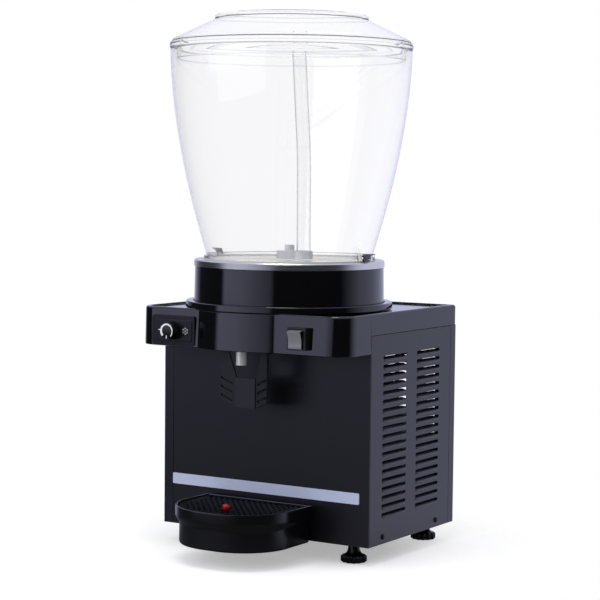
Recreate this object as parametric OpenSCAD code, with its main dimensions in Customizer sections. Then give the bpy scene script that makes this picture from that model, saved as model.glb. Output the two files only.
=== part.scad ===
// Cold drink dispenser: a clear bowl over a chilled steel plate, a spray pump that lifts the drink
// up a tube, a push lever tap, and a steel cabinet that holds the refrigeration set.
// Millimetres. +Z is up, the front faces -Y, +X is to the right. The origin is on the surface that
// the feet stand on, in the middle of the machine's outer box.

/* [Cabinet] */
// Width of the cabinet
body_w = 330; // [316:1:370]
// Depth of the cabinet
body_d = 237; // [230:1:270]
// Height of the cabinet's sheet steel, without feet and deck
body_h = 279; // [270:1:310]
// Thickness of the sheet steel
sheet_t = 1.2; // [0.8:0.1:2]
// Width of the folds on the left and rear panels
fold_w = 14.5; // [11:0.5:18]
// Width of the gap between neighbouring panels
seam = 0.8; // [0.4:0.1:1.5]
// Height of the base pan's lip
pan_lip = 22; // [18:1:28]

/* [Louvres] */
// Slots in one column
louvre_rows = 19; // [12:1:20]
// Distance from slot to slot
louvre_pitch = 11.6; // [9:0.1:12]
// Length of a slot
louvre_len = 65; // [50:1:70]
// Height of a slot
louvre_h = 4.6; // [3:0.1:6]
// Distance between the two columns
louvre_gap = 27; // [18:1:32]
// Height of the middle of the columns above the cabinet's underside
louvre_mid = 143.4; // [140:0.1:150]

/* [Feet] */
// Height of a foot below the cabinet
foot_h = 25; // [22:0.5:35]
// Diameter of a foot's base, over its lobes
foot_d = 35; // [30:0.5:40]
// Height of the lobed base
foot_base_h = 9.5; // [7:0.5:12]
// Diameter of the neck
foot_neck_d = 14.5; // [13:0.5:18]
// Diameter of the stud
stud_d = 8; // [6:0.5:10]
// Length of the stud inside the cabinet
stud_len = 11; // [9:0.5:14]
// Distance of a foot's axis from the cabinet's side
foot_in_x = 35; // [30:1:50]
// Distance of a foot's axis from the cabinet's front and rear
foot_in_y = 22; // [20:1:34]
// Lobes round a base
foot_lobes = 8; // [6:1:12]

/* [Deck] */
// Height of the deck above the panels' top edge
deck_rise = 28; // [26:1:36]
// How far the pods and the belly hang below the panels' top edge
deck_drop = 24; // [20:0.5:30]
// How far the pods stand in front of the front panel
deck_reach = 67; // [60:0.5:75]
// Radius of the pods' outer corners
deck_r = 28; // [20:0.5:32]
// Radius of the deck's rear corners
deck_rear_r = 6; // [4:0.5:10]
// Thickness of the deck's walls
deck_wall = 3; // [2.5:0.1:4]
// Width of the deck's top rim
rim_w = 7; // [5:0.5:10]
// Depth of the deck's sunken floor below the rim
sink = 7; // [4:0.5:9]
// Inner end of the left pod, from the middle
pod_left = 68; // [60:1:74]
// Inner end of the right pod, from the middle
pod_right = 58; // [50:1:62]
// Outer radius of the belly
belly_r = 142; // [140:0.5:146]
// Outer radius of the collar round the drum
collar_r = 144; // [142:0.5:147]
// Height of the collar above the rim
collar_h = 8; // [5:0.5:12]

/* [Drum] */
// Outer radius of the drum and its steel band
drum_r = 130; // [126:0.5:133]
// Distance of the drum's axis behind the front panel
drum_back = 60; // [57:0.5:66]
// Height of the drum that shows above the collar
drum_show = 47; // [40:0.5:60]
// Thickness of the drum's wall
drum_wall = 3.5; // [2.5:0.1:5]
// Height of the steel band
band_h = 9; // [8:0.5:12]
// Thickness of the steel plate
plate_t = 1.5; // [1:0.1:2]
// Diameter of the evaporator tube
coil_d = 6; // [5:0.5:6.5]
// Distance between the turns of the evaporator tube
coil_pitch = 18; // [17:0.5:18.5]

/* [Bowl] */
// Outer radius at the bowl's foot
bowl_foot_r = 112; // [108:0.5:113]
// Outer radius at the bowl's rim
bowl_rim_r = 164; // [155:0.5:172]
// Height of the bowl
bowl_h = 282; // [260:1:320]
// Thickness of the bowl's wall
bowl_wall = 3; // [2.4:0.1:4]
// How soon the wall turns upright: 1 is a straight cone
bowl_bend = 1.72; // [1.4:0.01:2]
// Width of the foot flange outside the wall
flange_w = 5; // [4:0.5:5.5]
// Thickness of the foot flange
flange_t = 3; // [2.5:0.1:4]
// Thickness of the gasket under the bowl
gasket_t = 1.5; // [1:0.1:3]

/* [Lid] */
// Width of the lid's rim outside the bowl's
lid_over = 1; // [0.5:0.1:3]
// Height of the lid's rim
lid_rim_h = 9; // [6:0.5:12]
// Radius of the lid's top disc
lid_top_r = 103; // [90:1:115]
// Height of the lid's sloping part
lid_cone_h = 34; // [24:1:40]
// Height of the step round the top disc
lid_step_h = 5; // [3:0.5:8]
// Rise of the top disc's dome
lid_dome_h = 2.5; // [2:0.5:6]
// Thickness of the lid's wall
lid_wall = 2.5; // [2:0.1:4]
// Depth of the lid's skirt inside the bowl
lid_skirt_h = 14; // [10:1:22]
// Gap between the skirt and the bowl
lid_gap = 5.5; // [4.5:0.5:8]

/* [Pump] */
// Radius of the pump housing
pump_r = 18; // [16:0.5:20]
// Height of the pump housing
pump_h = 12; // [11:0.5:16]
// Wall of the pump housing
pump_wall = 2.4; // [1.6:0.1:3]
// Radius of the grip post on the housing
post_r = 6.6; // [5:0.2:8]
// Height of the grip post above the housing
post_h = 8; // [5:0.5:14]
// Outer diameter of the spray tube
tube_d = 19; // [16:0.5:19.5]
// Wall of the spray tube
tube_wall = 1.6; // [1:0.1:2.5]
// Distance of the tube's lower end from the axis
tube_foot_x = 23.5; // [22:0.5:27]
// Distance of the tube's upper end from the axis
tube_head_x = 12.8; // [8:0.2:18]
// Height of the tube's upper end above the plate
tube_top = 283; // [240:1:290]
// Radius of the pump motor
motor_r = 27; // [22:0.5:32]
// Radius of the impeller's and the drive magnet's shafts
shaft_r = 3; // [2:0.1:4]

/* [Tap] */
// Outer diameter of the spout
spout_d = 12.8; // [11:0.2:14]
// Wall of the spout
spout_wall = 1.2; // [0.8:0.1:1.6]
// Distance of the spout in front of the front panel
spout_out = 56; // [54:0.5:58]
// How far the spout hangs below the belly
spout_low = 20; // [14:0.5:26]
// Distance of the valve in front of the front panel
valve_out = 22; // [20:0.5:23]
// Radius of the valve body
valve_r = 11; // [10:0.5:12]
// Distance of the lever's pin in front of the front panel
pivot_out = 42; // [41:0.5:43]
// Height of the lever's pin above the belly's lower edge
pivot_up = 10; // [9:0.5:11]
// Radius of the lever's pin
pin_r = 2.5; // [2:0.1:3]
// Half width of the lever's pad
pad_half = 15.75; // [13:0.25:18]
// Height of the lever's pad
pad_h = 39.5; // [30:0.5:46]
// Depth of the notch above the pad
notch_h = 36; // [30:0.5:42]
// Width of a wing, across
wing_w = 22; // [18:0.5:24]
// How far a wing comes forward at its outer edge
wing_fwd = 5; // [0:0.5:8]
// Thickness of the lever's plate
lever_t = 3.5; // [2.5:0.1:5]
// Swing of the lever, in degrees
lever_swing = 14; // [8:1:15]

/* [Drip tray] */
// Distance of the tray's front from the front panel
tray_reach = 136; // [120:1:150]
// Half width of the tray
tray_half = 84; // [75:1:95]
// Radius of the tray's front corners
tray_r = 74; // [56:1:75]
// Height of the tray
tray_h = 51; // [44:1:60]
// Height of the tray's rim band
tray_band = 13; // [10:0.5:18]
// How far the lower part is set in
tray_inset = 5; // [3:0.5:7]
// Height of the slope under the rim band
tray_slope = 11; // [6:0.5:14]
// Gap between the tray and the front panel
tray_gap = 10; // [6:0.5:14]
// Thickness of the tray's wall
tray_wall = 3; // [2:0.1:4]
// Depth of the grille below the tray's rim
grille_sink = 2; // [2:0.5:6]
// Thickness of the grille
grille_t = 3; // [2:0.1:4]
// Distance from slot to slot in the grille
grille_pitch = 11; // [9:0.5:16]
// Distance of the float from the front panel
float_out = 88.5; // [80:0.5:98]
// Radius of the float's cap
float_r = 3.9; // [3:0.1:5]

/* [Controls] */
// Width of the control plate
plate_w = 70; // [60:1:71]
// Height of the control plate
plate_h = 41; // [36:0.5:42]
// Distance of the knob's axis from the middle
knob_x = 102.5; // [100:0.5:106]
// Height of the knob's axis above the belly's lower edge
knob_z = 21.5; // [20:0.5:24]
// Diameter of the knob
knob_d = 24; // [20:0.5:26]
// Length of the knob
knob_len = 14; // [10:0.5:18]
// Distance of the switch's middle from the middle of the machine
switch_x = 98; // [88:0.5:102]
// Width of the switch housing
switch_w = 28; // [26:0.5:32]
// Height of the switch housing
switch_h = 29; // [28.5:0.5:34]
// How far the switch housing stands out of the pod
switch_out = 10; // [6:0.5:12]
// Width of the rocker
rocker_w = 20; // [16:0.5:22]
// Height of the rocker
rocker_h = 23; // [20:0.5:23.5]
// Half of the rocker's swing, in degrees
rocker_tilt = 9; // [6:1:12]
// Half length of the bare strip on the front panel
strip_half = 150; // [120:1:150]
// Height of the strip
strip_h = 15; // [10:0.5:20]
// Height of the strip's lower edge above the cabinet's underside
strip_up = 56; // [55:0.5:70]

/* [Cold set] */
// Radius of the compressor's can
comp_r = 54; // [48:1:56]
// Height of the compressor
comp_h = 150; // [130:1:155]
// Distance of the compressor's axis from the left side
comp_in = 88; // [84:1:92]
// Distance of the compressor's axis from the rear
comp_back = 95; // [90:1:100]
// Height of the condenser above the cabinet's underside
cond_h = 165; // [150:1:170]
// Distance of the condenser's inner face from the right side
cond_in = 62; // [58:1:66]
// Distance of the condenser's outer face from the right side
cond_out = 22; // [18:1:24]
// Radius of the fan's blades, with their room
fan_r = 58; // [50:1:60]
// Height of the fan's axis above the cabinet's underside
fan_up = 95; // [90:1:98]
// Length of the filter drier's body
drier_len = 98; // [80:1:110]
// Distance of the filter drier from the rear
drier_back = 30; // [26:1:34]

/* [Clearances] */
// Radial clearance of a shaft in its bore
run_fit = 0.05; // [0.02:0.01:0.1]
// Clearance between pieces that move past each other
slip = 0.4; // [0.3:0.05:0.6]

/* [Hidden] */
$fn = 96;
cut = 1;

// Planes of the cabinet
side_x = body_w / 2;
front_y = (tray_reach - body_d) / 2;
rear_y = front_y + body_d;
drum_y = front_y + drum_back;

// Levels, from the floor up
z_base = foot_h;
z_seam = z_base + body_h;
z_belly = z_seam - deck_drop;
z_deck = z_seam + deck_rise;
z_floor = z_deck - sink;
z_ceiling = z_floor - deck_wall;
z_collar = z_deck + collar_h;
z_band = z_collar + drum_show;
z_plate = z_band + band_h;
z_foot = z_plate + gasket_t + slip;
z_rim = z_foot + bowl_h;
z_lid = z_rim + slip;

// Deck and drum
pod_y = front_y - deck_reach;
collar_in = drum_r + slip;
ledge_r = drum_r - 12;

// Pump, on the drum's axis
well_r = pump_r - pump_wall;
well_h = 8;
impeller_r = well_r - 2;
drum_floor = z_floor + drum_wall;
z_well = z_plate - well_h;
motor_top = z_well - plate_t - 14;
tube_run = tube_top - 4;
tube_tilt = atan2(tube_foot_x - tube_head_x, tube_run);
tube_len = tube_run / cos(tube_tilt);

// Tap, measured from the front panel's face
spout_y = front_y - spout_out;
valve_y = front_y - valve_out;
pivot_y = front_y - pivot_out;
pivot_z = z_belly + pivot_up;
arm = pivot_out - valve_out;
hub_r = pin_r + 3.5;
finger_top = pivot_z + 3;
stem_z = finger_top + slip;
valve_z0 = pivot_z + 10;
valve_floor = 3;
valve_port_z = valve_z0 + valve_floor + spout_d / 2 + 0.6;
seat_z = valve_port_z + spout_d / 2 + 2.4;
valve_z1 = drum_floor + 14;
stem_r = 2.5;
seat_r = 5;
bore_in_r = valve_r - 3;
seal_r = bore_in_r - 1;
seal_t = 3;
lift = arm * lever_swing * PI / 180;
pad_y = 0;
lever_top = 2;
ear_t = 3;
ear_x = pad_half + wing_w + 2;

// Drip tray
tray_front = front_y - tray_reach;
tray_rear = front_y - tray_gap;
tray_z0 = z_base - 1;
tray_z1 = tray_z0 + tray_h;
tongue_w = 14;
tongue_t = 5;
tongue_x = 52;
tongue_z = tray_z1 - tray_band + 4;
tongue_in = 9;
grille_rim = 3;
grille_z = tray_z1 - grille_sink - grille_t;
float_y = front_y - float_out;
float_post_r = 1.5;

// Controls
knob_y = pod_y - 2.4;
axle_z = z_belly + knob_z;
plate_z0 = axle_z - plate_h / 2;
plate_x1 = pod_left - 0.5;
rocker_y = pod_y - switch_out;
rocker_depth = 7.5;

// Right end of the cold set, left end of the compressor
cond_x0 = side_x - cond_in;
cond_x1 = side_x - cond_out;
cond_y0 = front_y + 42;
cond_y1 = rear_y - 48;
cond_z1 = z_base + cond_h;
fan_y = (cond_y0 + cond_y1) / 2;
fan_z = z_base + fan_up;
comp_x = -side_x + comp_in;
comp_y = rear_y - comp_back;
comp_z0 = z_base + sheet_t + 14;
drier_x = -30;
drier_y = rear_y - drier_back;
drier_z0 = z_base + 12;
screw_r = 2;
screw_head_r = 3.75;
screw_in_y = 37;
screw_up = 9.7;
gland_x = -side_x + 45;
gland_z = z_base + 42;
gland_bore_r = 4.25;
gland_r = 8;

foot_spots = [for (sx = [-1, 1]) for (sy = [-1, 1]) [
  sx * (side_x - foot_in_x),
  sy < 0 ? front_y + foot_in_y : rear_y - foot_in_y
]];

// Shared shapes

module box(x0, x1, y0, y1, z0, z1) {
  translate([x0, y0, z0]) cube([x1 - x0, y1 - y0, z1 - z0]);
}

// Upright cylinder on an axis that stays at the given place
module post(x, y, z0, z1, r) {
  translate([x, y, z0]) cylinder(r = r, h = z1 - z0);
}

module ring(x, y, z0, z1, r_out, r_in) {
  difference() {
    post(x, y, z0, z1, r_out);
    post(x, y, z0 - cut, z1 + cut, r_in);
  }
}

// Cylinder along X
module bar_x(x0, x1, y, z, r) {
  translate([x0, y, z]) rotate([0, 90, 0]) cylinder(r = r, h = x1 - x0);
}

// Cylinder along Y
module bar_y(x, y0, y1, z, r) {
  translate([x, y0, z]) rotate([-90, 0, 0]) cylinder(r = r, h = y1 - y0);
}

// Round bar from one point to another
module rod(p, q, r) {
  d = q - p;
  translate(p) rotate([0, acos(d[2] / norm(d)), atan2(d[1], d[0])]) cylinder(r = r, h = norm(d));
}

// Pipe of round bars with brazed ball corners
module pipe(points, r) {
  for (i = [0:len(points) - 2]) rod(points[i], points[i + 1], r);
  for (i = [1:1:len(points) - 2]) translate(points[i]) sphere(r = r + 0.6);
}

// Slot with round ends in the plane of Y and Z, cut along X
module slot_x(x0, x1, y0, y1, z, h) {
  box(x0, x1, y0 + h / 2, y1 - h / 2, z - h / 2, z + h / 2);
  bar_x(x0, x1, y0 + h / 2, z, h / 2);
  bar_x(x0, x1, y1 - h / 2, z, h / 2);
}

// Two columns of louvre slots through a side panel
module louvres(x0, x1) {
  mid_y = (front_y + rear_y - fold_w) / 2;
  for (i = [0:louvre_rows - 1]) {
    z = z_base + louvre_mid + (i - (louvre_rows - 1) / 2) * louvre_pitch;
    slot_x(x0, x1, mid_y - louvre_gap / 2 - louvre_len, mid_y - louvre_gap / 2, z, louvre_h);
    slot_x(x0, x1, mid_y + louvre_gap / 2, mid_y + louvre_gap / 2 + louvre_len, z, louvre_h);
  }
}

// Places of the panel screws: side, y, z
screw_spots = [for (s = [-1, 1]) for (y = [front_y + screw_in_y, rear_y - fold_w - screw_in_y])
  [s, y, z_base + screw_up]];

// Cabinet

module base_pan() color("#26262a") {
  wall = 1.5;
  x = side_x - sheet_t;
  difference() {
    union() {
      difference() {
        box(-x, x, front_y + sheet_t, rear_y - sheet_t, z_base, z_base + pan_lip);
        box(-x + wall, x - wall, front_y + sheet_t + wall, rear_y - sheet_t - wall,
          z_base + sheet_t, z_base + pan_lip + cut);
      }
      for (p = foot_spots) post(p[0], p[1], z_base, z_base + stud_len + 2, stud_d / 2 + 4);
    }
    for (p = foot_spots) post(p[0], p[1], z_base - cut, z_base + stud_len + 0.5, stud_d / 2 + run_fit);
    for (s = screw_spots) bar_x(-side_x, side_x, s[1], s[2], screw_r + slip / 2);
  }
}

module front_panel() color("#1c1b20") {
  difference() {
    union() {
      box(-side_x + fold_w + seam, side_x, front_y, front_y + sheet_t, z_base, z_seam);
      box(-side_x + deck_wall + slip, side_x - deck_wall - slip, front_y, front_y + sheet_t,
        z_seam - cut, z_ceiling);
      box(-side_x + fold_w + seam, side_x - sheet_t - slip, front_y, front_y + sheet_t,
        z_seam - cut, z_seam);
    }
    box(-side_x - cut, -side_x + fold_w + seam, front_y - cut, front_y + sheet_t + cut,
      z_base, z_seam + slip);
    for (s = [-1, 1]) box(s * tongue_x - tongue_w / 2 - slip, s * tongue_x + tongue_w / 2 + slip,
      front_y - cut, front_y + sheet_t + cut, tongue_z - slip, tongue_z + tongue_t + slip);
  }
}

module left_panel() color("#232328") {
  difference() {
    union() {
      box(-side_x, -side_x + sheet_t, front_y, rear_y - sheet_t, z_base, z_seam);
      box(-side_x, -side_x + fold_w, front_y, front_y + sheet_t, z_base, z_seam);
    }
    louvres(-side_x - cut, -side_x + sheet_t + cut);
    for (s = screw_spots) if (s[0] < 0)
      bar_x(-side_x - cut, -side_x + sheet_t + cut, s[1], s[2], screw_r + slip / 2);
  }
}

module right_panel() color("#232328") {
  difference() {
    box(side_x - sheet_t, side_x, front_y + sheet_t + seam, rear_y - fold_w - seam, z_base, z_seam - seam);
    louvres(side_x - sheet_t - cut, side_x + cut);
    for (s = screw_spots) if (s[0] > 0)
      bar_x(side_x - sheet_t - cut, side_x + cut, s[1], s[2], screw_r + slip / 2);
  }
}

module rear_panel() color("#232328") {
  vent_w = body_w / 2 - 40;
  rows = louvre_rows - 7;
  difference() {
    union() {
      box(-side_x, side_x, rear_y - sheet_t, rear_y, z_base, z_seam);
      box(side_x - sheet_t, side_x, rear_y - fold_w, rear_y, z_base, z_seam);
    }
    for (i = [0:rows - 1]) for (s = [-1, 1]) {
      z = z_seam - 26 - i * louvre_pitch;
      translate([s * (vent_w + 14) / 2, 0, z]) {
        box(-vent_w / 2, vent_w / 2, rear_y - sheet_t - cut, rear_y + cut, -louvre_h / 2, louvre_h / 2);
        bar_y(-vent_w / 2, rear_y - sheet_t - cut, rear_y + cut, 0, louvre_h / 2);
        bar_y(vent_w / 2, rear_y - sheet_t - cut, rear_y + cut, 0, louvre_h / 2);
      }
    }
    bar_y(gland_x, rear_y - sheet_t - cut, rear_y + cut, gland_z, gland_r + slip / 2);
  }
}

module panel_screws() color("#101012") {
  for (s = screw_spots) translate([s[0] * side_x, s[1], s[2]]) rotate([0, s[0] * 90, 0]) {
    translate([0, 0, -sheet_t - 6]) cylinder(r = screw_r, h = sheet_t + 6.5);
    cylinder(r = screw_head_r, h = 0.8);
    translate([0, 0, 0.8]) cylinder(r1 = screw_head_r, r2 = screw_head_r - 1.6, h = 1.1);
  }
}

module front_strip() color("#b9c0d6") {
  strip_t = 0.6;
  r = 1.5;
  z0 = z_base + strip_up;
  box(-strip_half + r, strip_half - r, front_y - strip_t, front_y, z0, z0 + strip_h);
  box(-strip_half, strip_half, front_y - strip_t, front_y, z0 + r, z0 + strip_h - r);
  for (x = [-strip_half + r, strip_half - r]) for (z = [z0 + r, z0 + strip_h - r])
    bar_y(x, front_y - strip_t, front_y, z, r);
}

module mains_gland() color("#111113") {
  difference() {
    union() {
      bar_y(gland_x, rear_y - 8, rear_y, gland_z, gland_r);
      bar_y(gland_x, rear_y - sheet_t - 3, rear_y - sheet_t, gland_z, gland_r + 3);
    }
    bar_y(gland_x, rear_y - 10, rear_y + cut, gland_z, gland_bore_r);
  }
}

// A levelling foot: lobed base, flared neck and stud
module levelling_foot(p) color("#17171a") {
  lobe_r = foot_d * 0.13;
  post(p[0], p[1], 0, foot_base_h, foot_d / 2 - lobe_r);
  for (i = [0:foot_lobes - 1]) {
    a = 360 * (i + 0.5) / foot_lobes;
    far = foot_d / 2 - lobe_r;
    post(p[0] + far * cos(a), p[1] + far * sin(a), 0, foot_base_h, lobe_r);
  }
  translate([p[0], p[1], foot_base_h])
    cylinder(r1 = foot_d / 2 - 2 * lobe_r, r2 = foot_neck_d / 2, h = foot_h - slip - foot_base_h);
  post(p[0], p[1], foot_base_h, z_base + stud_len, stud_d / 2);
}

module foot_front_left() { levelling_foot(foot_spots[0]); }
module foot_rear_left() { levelling_foot(foot_spots[1]); }
module foot_front_right() { levelling_foot(foot_spots[2]); }
module foot_rear_right() { levelling_foot(foot_spots[3]); }

// Deck

// Outline block of the deck behind the front panel, set in by a margin
module deck_block(m, z0, z1) {
  r = max(deck_rear_r - m, 0.5);
  x = side_x - m;
  y = rear_y - m;
  box(-x, x, front_y, y - r, z0, z1);
  box(-x + r, x - r, front_y, y, z0, z1);
  for (s = [-1, 1]) post(s * (x - r), y - r, z0, z1, r);
}

// One pod, from its inner end to the outer corner, set in by a margin
module pod(s, inner, m, z0, z1) {
  r = deck_r - m;
  x = side_x - m;
  y = pod_y + m;
  mirror([s < 0 ? 1 : 0, 0, 0]) {
    box(inner + m, x, y + r, front_y, z0, z1);
    box(inner + m, x - r, y, front_y, z0, z1);
    post(x - r, y + r, z0, z1, r);
  }
}

// Round belly between the pods, in front of the front panel
module belly(m, z0, z1) {
  intersection() {
    post(0, drum_y, z0, z1, belly_r - m);
    box(-side_x, side_x, drum_y - belly_r - cut, front_y, z0 - cut, z1 + cut);
  }
}

module top_deck() color("#141417") {
  difference() {
    union() {
      deck_block(0, z_seam, z_deck);
      pod(-1, pod_left, 0, z_belly, z_deck);
      pod(1, pod_right, 0, z_belly, z_deck);
      belly(0, z_belly, z_deck);
      post(0, drum_y, z_floor, z_deck, belly_r);
      post(0, drum_y, z_deck - 1, z_collar, collar_r);
    }
    deck_block(deck_wall, z_seam - cut, z_ceiling);
    pod(-1, pod_left, deck_wall, z_belly - cut, z_ceiling);
    pod(1, pod_right, deck_wall, z_belly - cut, z_ceiling);
    belly(deck_wall, z_belly - cut, z_ceiling);
    difference() {
      union() {
        deck_block(rim_w, z_floor, z_deck + cut);
        pod(-1, pod_left, rim_w, z_floor, z_deck + cut);
        pod(1, pod_right, rim_w, z_floor, z_deck + cut);
        box(-side_x + rim_w, side_x - rim_w, front_y - cut, front_y + cut, z_floor, z_deck + cut);
      }
      post(0, drum_y, z_floor - cut, z_collar, belly_r);
    }
    post(0, drum_y, z_floor, z_collar + cut, collar_in);
    post(0, drum_y, z_ceiling - cut, z_deck, ledge_r);
    bar_y(-knob_x, pod_y - cut, pod_y + deck_wall + cut, axle_z, shaft_r + 1);
    box(switch_x - switch_w / 2 + 2, switch_x + switch_w / 2 - 2, pod_y - cut, pod_y + deck_wall + cut,
      axle_z - switch_h / 2 + 2, axle_z + switch_h / 2 - 2);
  }
}

module control_plate() color("#2c2c31") {
  t = knob_y - pod_y + slip;
  difference() {
    union() {
      box(-plate_x1 - plate_w, -plate_x1, pod_y - 1, pod_y, plate_z0, plate_z0 + plate_h);
      box(-plate_x1 - plate_w + 4, -plate_x1 - 4, pod_y + t, pod_y - 1, plate_z0 + 6, plate_z0 + plate_h - 6);
    }
    bar_y(-knob_x, pod_y - 4, pod_y + cut, axle_z, shaft_r + 1);
  }
}

// Generic frost mark of seven dots, and the tick beside the knob
module plate_marks() color("#f0f0f2") {
  y1 = knob_y + slip;
  x = -knob_x + 20.5;
  tick = -knob_x - 22;
  bar_y(x, y1 - 0.3, y1, axle_z, 1.1);
  for (i = [0:5]) bar_y(x + 3.4 * sin(60 * i), y1 - 0.3, y1, axle_z + 3.4 * cos(60 * i), 1.1);
  box(tick - 1.5, tick + 1.5, y1 - 0.3, y1, axle_z - 0.6, axle_z + 0.6);
}

module thermostat_body() color("#8a8d94") {
  box(-knob_x - 16, -knob_x + 16, pod_y + deck_wall, pod_y + deck_wall + 26, axle_z - 14, axle_z + 14);
  bar_y(-knob_x, knob_y - knob_len + 5, pod_y + deck_wall + cut, axle_z, shaft_r);
}

module thermostat_knob() color("#141416") {
  difference() {
    union() {
      bar_y(-knob_x, knob_y - knob_len, knob_y, axle_z, knob_d / 2 - 0.8);
      bar_y(-knob_x, knob_y - knob_len + 2, knob_y, axle_z, knob_d / 2);
    }
    bar_y(-knob_x, knob_y - knob_len + 5 - slip, knob_y + cut, axle_z, shaft_r + run_fit);
  }
}

// Tapering arc and off line printed on the knob's face: the arc thins from lower left to lower right
module knob_marks() color("#f4f4f6") {
  steps = 54;
  r = knob_d / 2 - 2;
  thick = 3;
  thin = 1;
  outer = [for (i = [0:steps]) let (a = 225 - 270 * i / steps) [r * cos(a), r * sin(a)]];
  inner = [for (i = [steps:-1:0]) let (a = 225 - 270 * i / steps, w = thick + (thin - thick) * i / steps)
    [(r - w) * cos(a), (r - w) * sin(a)]];
  translate([-knob_x, knob_y - knob_len, axle_z]) rotate([90, 0, 0]) linear_extrude(0.3) {
    polygon(concat(outer, inner));
    translate([-0.6, -r]) square([1.2, 4]);
  }
}

module switch_housing() color("#19191c") {
  difference() {
    union() {
      box(switch_x - switch_w / 2, switch_x + switch_w / 2, rocker_y, pod_y,
        axle_z - switch_h / 2, axle_z + switch_h / 2);
      box(switch_x - switch_w / 2 + 2.3, switch_x + switch_w / 2 - 2.3, rocker_y, pod_y + deck_wall + 14,
        axle_z - switch_h / 2 + 2.3, axle_z + switch_h / 2 - 2.3);
    }
    box(switch_x - rocker_w / 2 - slip, switch_x + rocker_w / 2 + slip, rocker_y - cut, rocker_y + 9,
      axle_z - rocker_h / 2 - 1, axle_z + rocker_h / 2 + 1);
    bar_x(switch_x - rocker_w / 2 - 2, switch_x + rocker_w / 2 + 2, rocker_y + 2.5, axle_z, 1.5 + run_fit);
  }
}

// Rocker on its two trunnions, with the lower end pressed in
module switch_rocker() color("#77777d") {
  reach = rocker_h / 2;
  translate([switch_x, rocker_y + 2.5, axle_z]) {
    rotate([rocker_tilt, 0, 0]) difference() {
      box(-rocker_w / 2, rocker_w / 2, -rocker_depth, 2.5, -reach, reach);
      translate([0, -rocker_depth - reach * 2.6, 0]) rotate([0, 90, 0])
        cylinder(r = reach * 2.6 + 1.4, h = rocker_w + 2 * cut, center = true);
    }
    bar_x(-rocker_w / 2 - 1.7, rocker_w / 2 + 1.7, 0, 0, 1.5);
  }
}

// Drum and cold plate

module drum_shell() color("#0e0e11") {
  difference() {
    post(0, drum_y, z_floor, z_band, drum_r);
    post(0, drum_y, drum_floor, z_band + cut, drum_r - drum_wall);
    post(0, valve_y, z_floor - cut, drum_floor + cut, valve_r + 1);
    for (s = coil_legs) post(s[0], s[1], z_floor - cut, drum_floor + cut, leg_hole_r);
  }
}

// Places where the evaporator's two legs go down
coil_turns = 4;
coil_r0 = drum_back + valve_out - 2.25 * coil_pitch;
coil_r1 = coil_r0 + coil_turns * coil_pitch;
coil_z = z_plate - plate_t - slip - coil_d / 2;
coil_legs = [[coil_r0, drum_y], [coil_r1, drum_y]];
leg_r = coil_d / 2;
leg_hole_r = leg_r + 1;
leg_z = z_ceiling - 6;
pipe_r = 5;

module drum_foam() color("#e8dfc4") {
  difference() {
    post(0, drum_y, drum_floor, coil_z - coil_d / 2 - slip, drum_r - drum_wall - slip);
    post(0, drum_y, drum_floor - cut, z_plate, motor_r + slip);
    post(0, valve_y, drum_floor - cut, valve_z1 + 1, valve_r + 1);
    post(0, valve_y, drum_floor, z_plate, pipe_r + 1);
    for (s = coil_legs) post(s[0], s[1], drum_floor - cut, z_plate, leg_hole_r);
  }
}

module cold_plate() color("#c9ccd1") {
  difference() {
    union() {
      ring(0, drum_y, z_band, z_plate - 2, drum_r, drum_r - drum_wall);
      post(0, drum_y, z_plate - 2, z_plate - plate_t, drum_r);
      translate([0, drum_y, z_plate - plate_t]) cylinder(r1 = drum_r, r2 = drum_r - plate_t, h = plate_t);
      post(0, drum_y, z_well - plate_t, z_plate, well_r + plate_t);
    }
    post(0, drum_y, z_band, z_plate - plate_t, drum_r - drum_wall - 0.01);
    post(0, drum_y, z_well, z_plate + cut, well_r);
    post(0, valve_y, z_band, z_plate + cut, pipe_r + run_fit);
  }
  ring(0, drum_y, z_well - plate_t, z_plate, well_r + plate_t, well_r);
  post(0, drum_y, z_well - plate_t, z_well, well_r + plate_t);
  post(0, drum_y, z_well - 0.1, z_plate + 1, shaft_r);
}

// Flat spiral of tube under the plate, with a leg at each end: radius grows evenly with the angle
module evaporator_coil() color("#b87333") {
  sides = 8;
  steps = coil_turns * 24;
  rings = [for (i = [0:steps]) let (a = 360 * coil_turns * i / steps,
    r = coil_r0 + (coil_r1 - coil_r0) * i / steps)
    [for (k = [0:sides - 1]) let (b = 360 * k / sides, q = r + leg_r * cos(b))
      [q * cos(a), q * sin(a), leg_r * sin(b)]]];
  points = [for (ring_pts = rings) for (p = ring_pts) p];
  walls = [for (i = [0:steps - 1]) for (k = [0:sides - 1]) let (n = (k + 1) % sides)
    each [[i * sides + k, i * sides + n, (i + 1) * sides + n],
      [i * sides + k, (i + 1) * sides + n, (i + 1) * sides + k]]];
  first_end = [for (k = [1:sides - 2]) [0, k + 1, k]];
  last_end = [for (k = [1:sides - 2]) [steps * sides, steps * sides + k, steps * sides + k + 1]];
  translate([0, drum_y, coil_z]) polyhedron(points = points, faces = concat(walls, first_end, last_end));
  for (s = coil_legs) post(s[0], s[1], leg_z, coil_z, leg_r);
}

module bowl_gasket() color("#d9d9dd") {
  ring(0, drum_y, z_plate, z_plate + gasket_t, bowl_foot_r + flange_w, bowl_foot_r - bowl_wall - 2);
}

// Pump

module pump_motor() color("#6f737a") {
  post(0, drum_y, drum_floor, motor_top, motor_r);
  post(0, drum_y, motor_top - cut, motor_top + 12, shaft_r);
}

module drive_magnet() color("#3a3a40") {
  ring(0, drum_y, motor_top + 1, z_well - plate_t - 0.8, impeller_r, shaft_r + run_fit);
}

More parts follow.
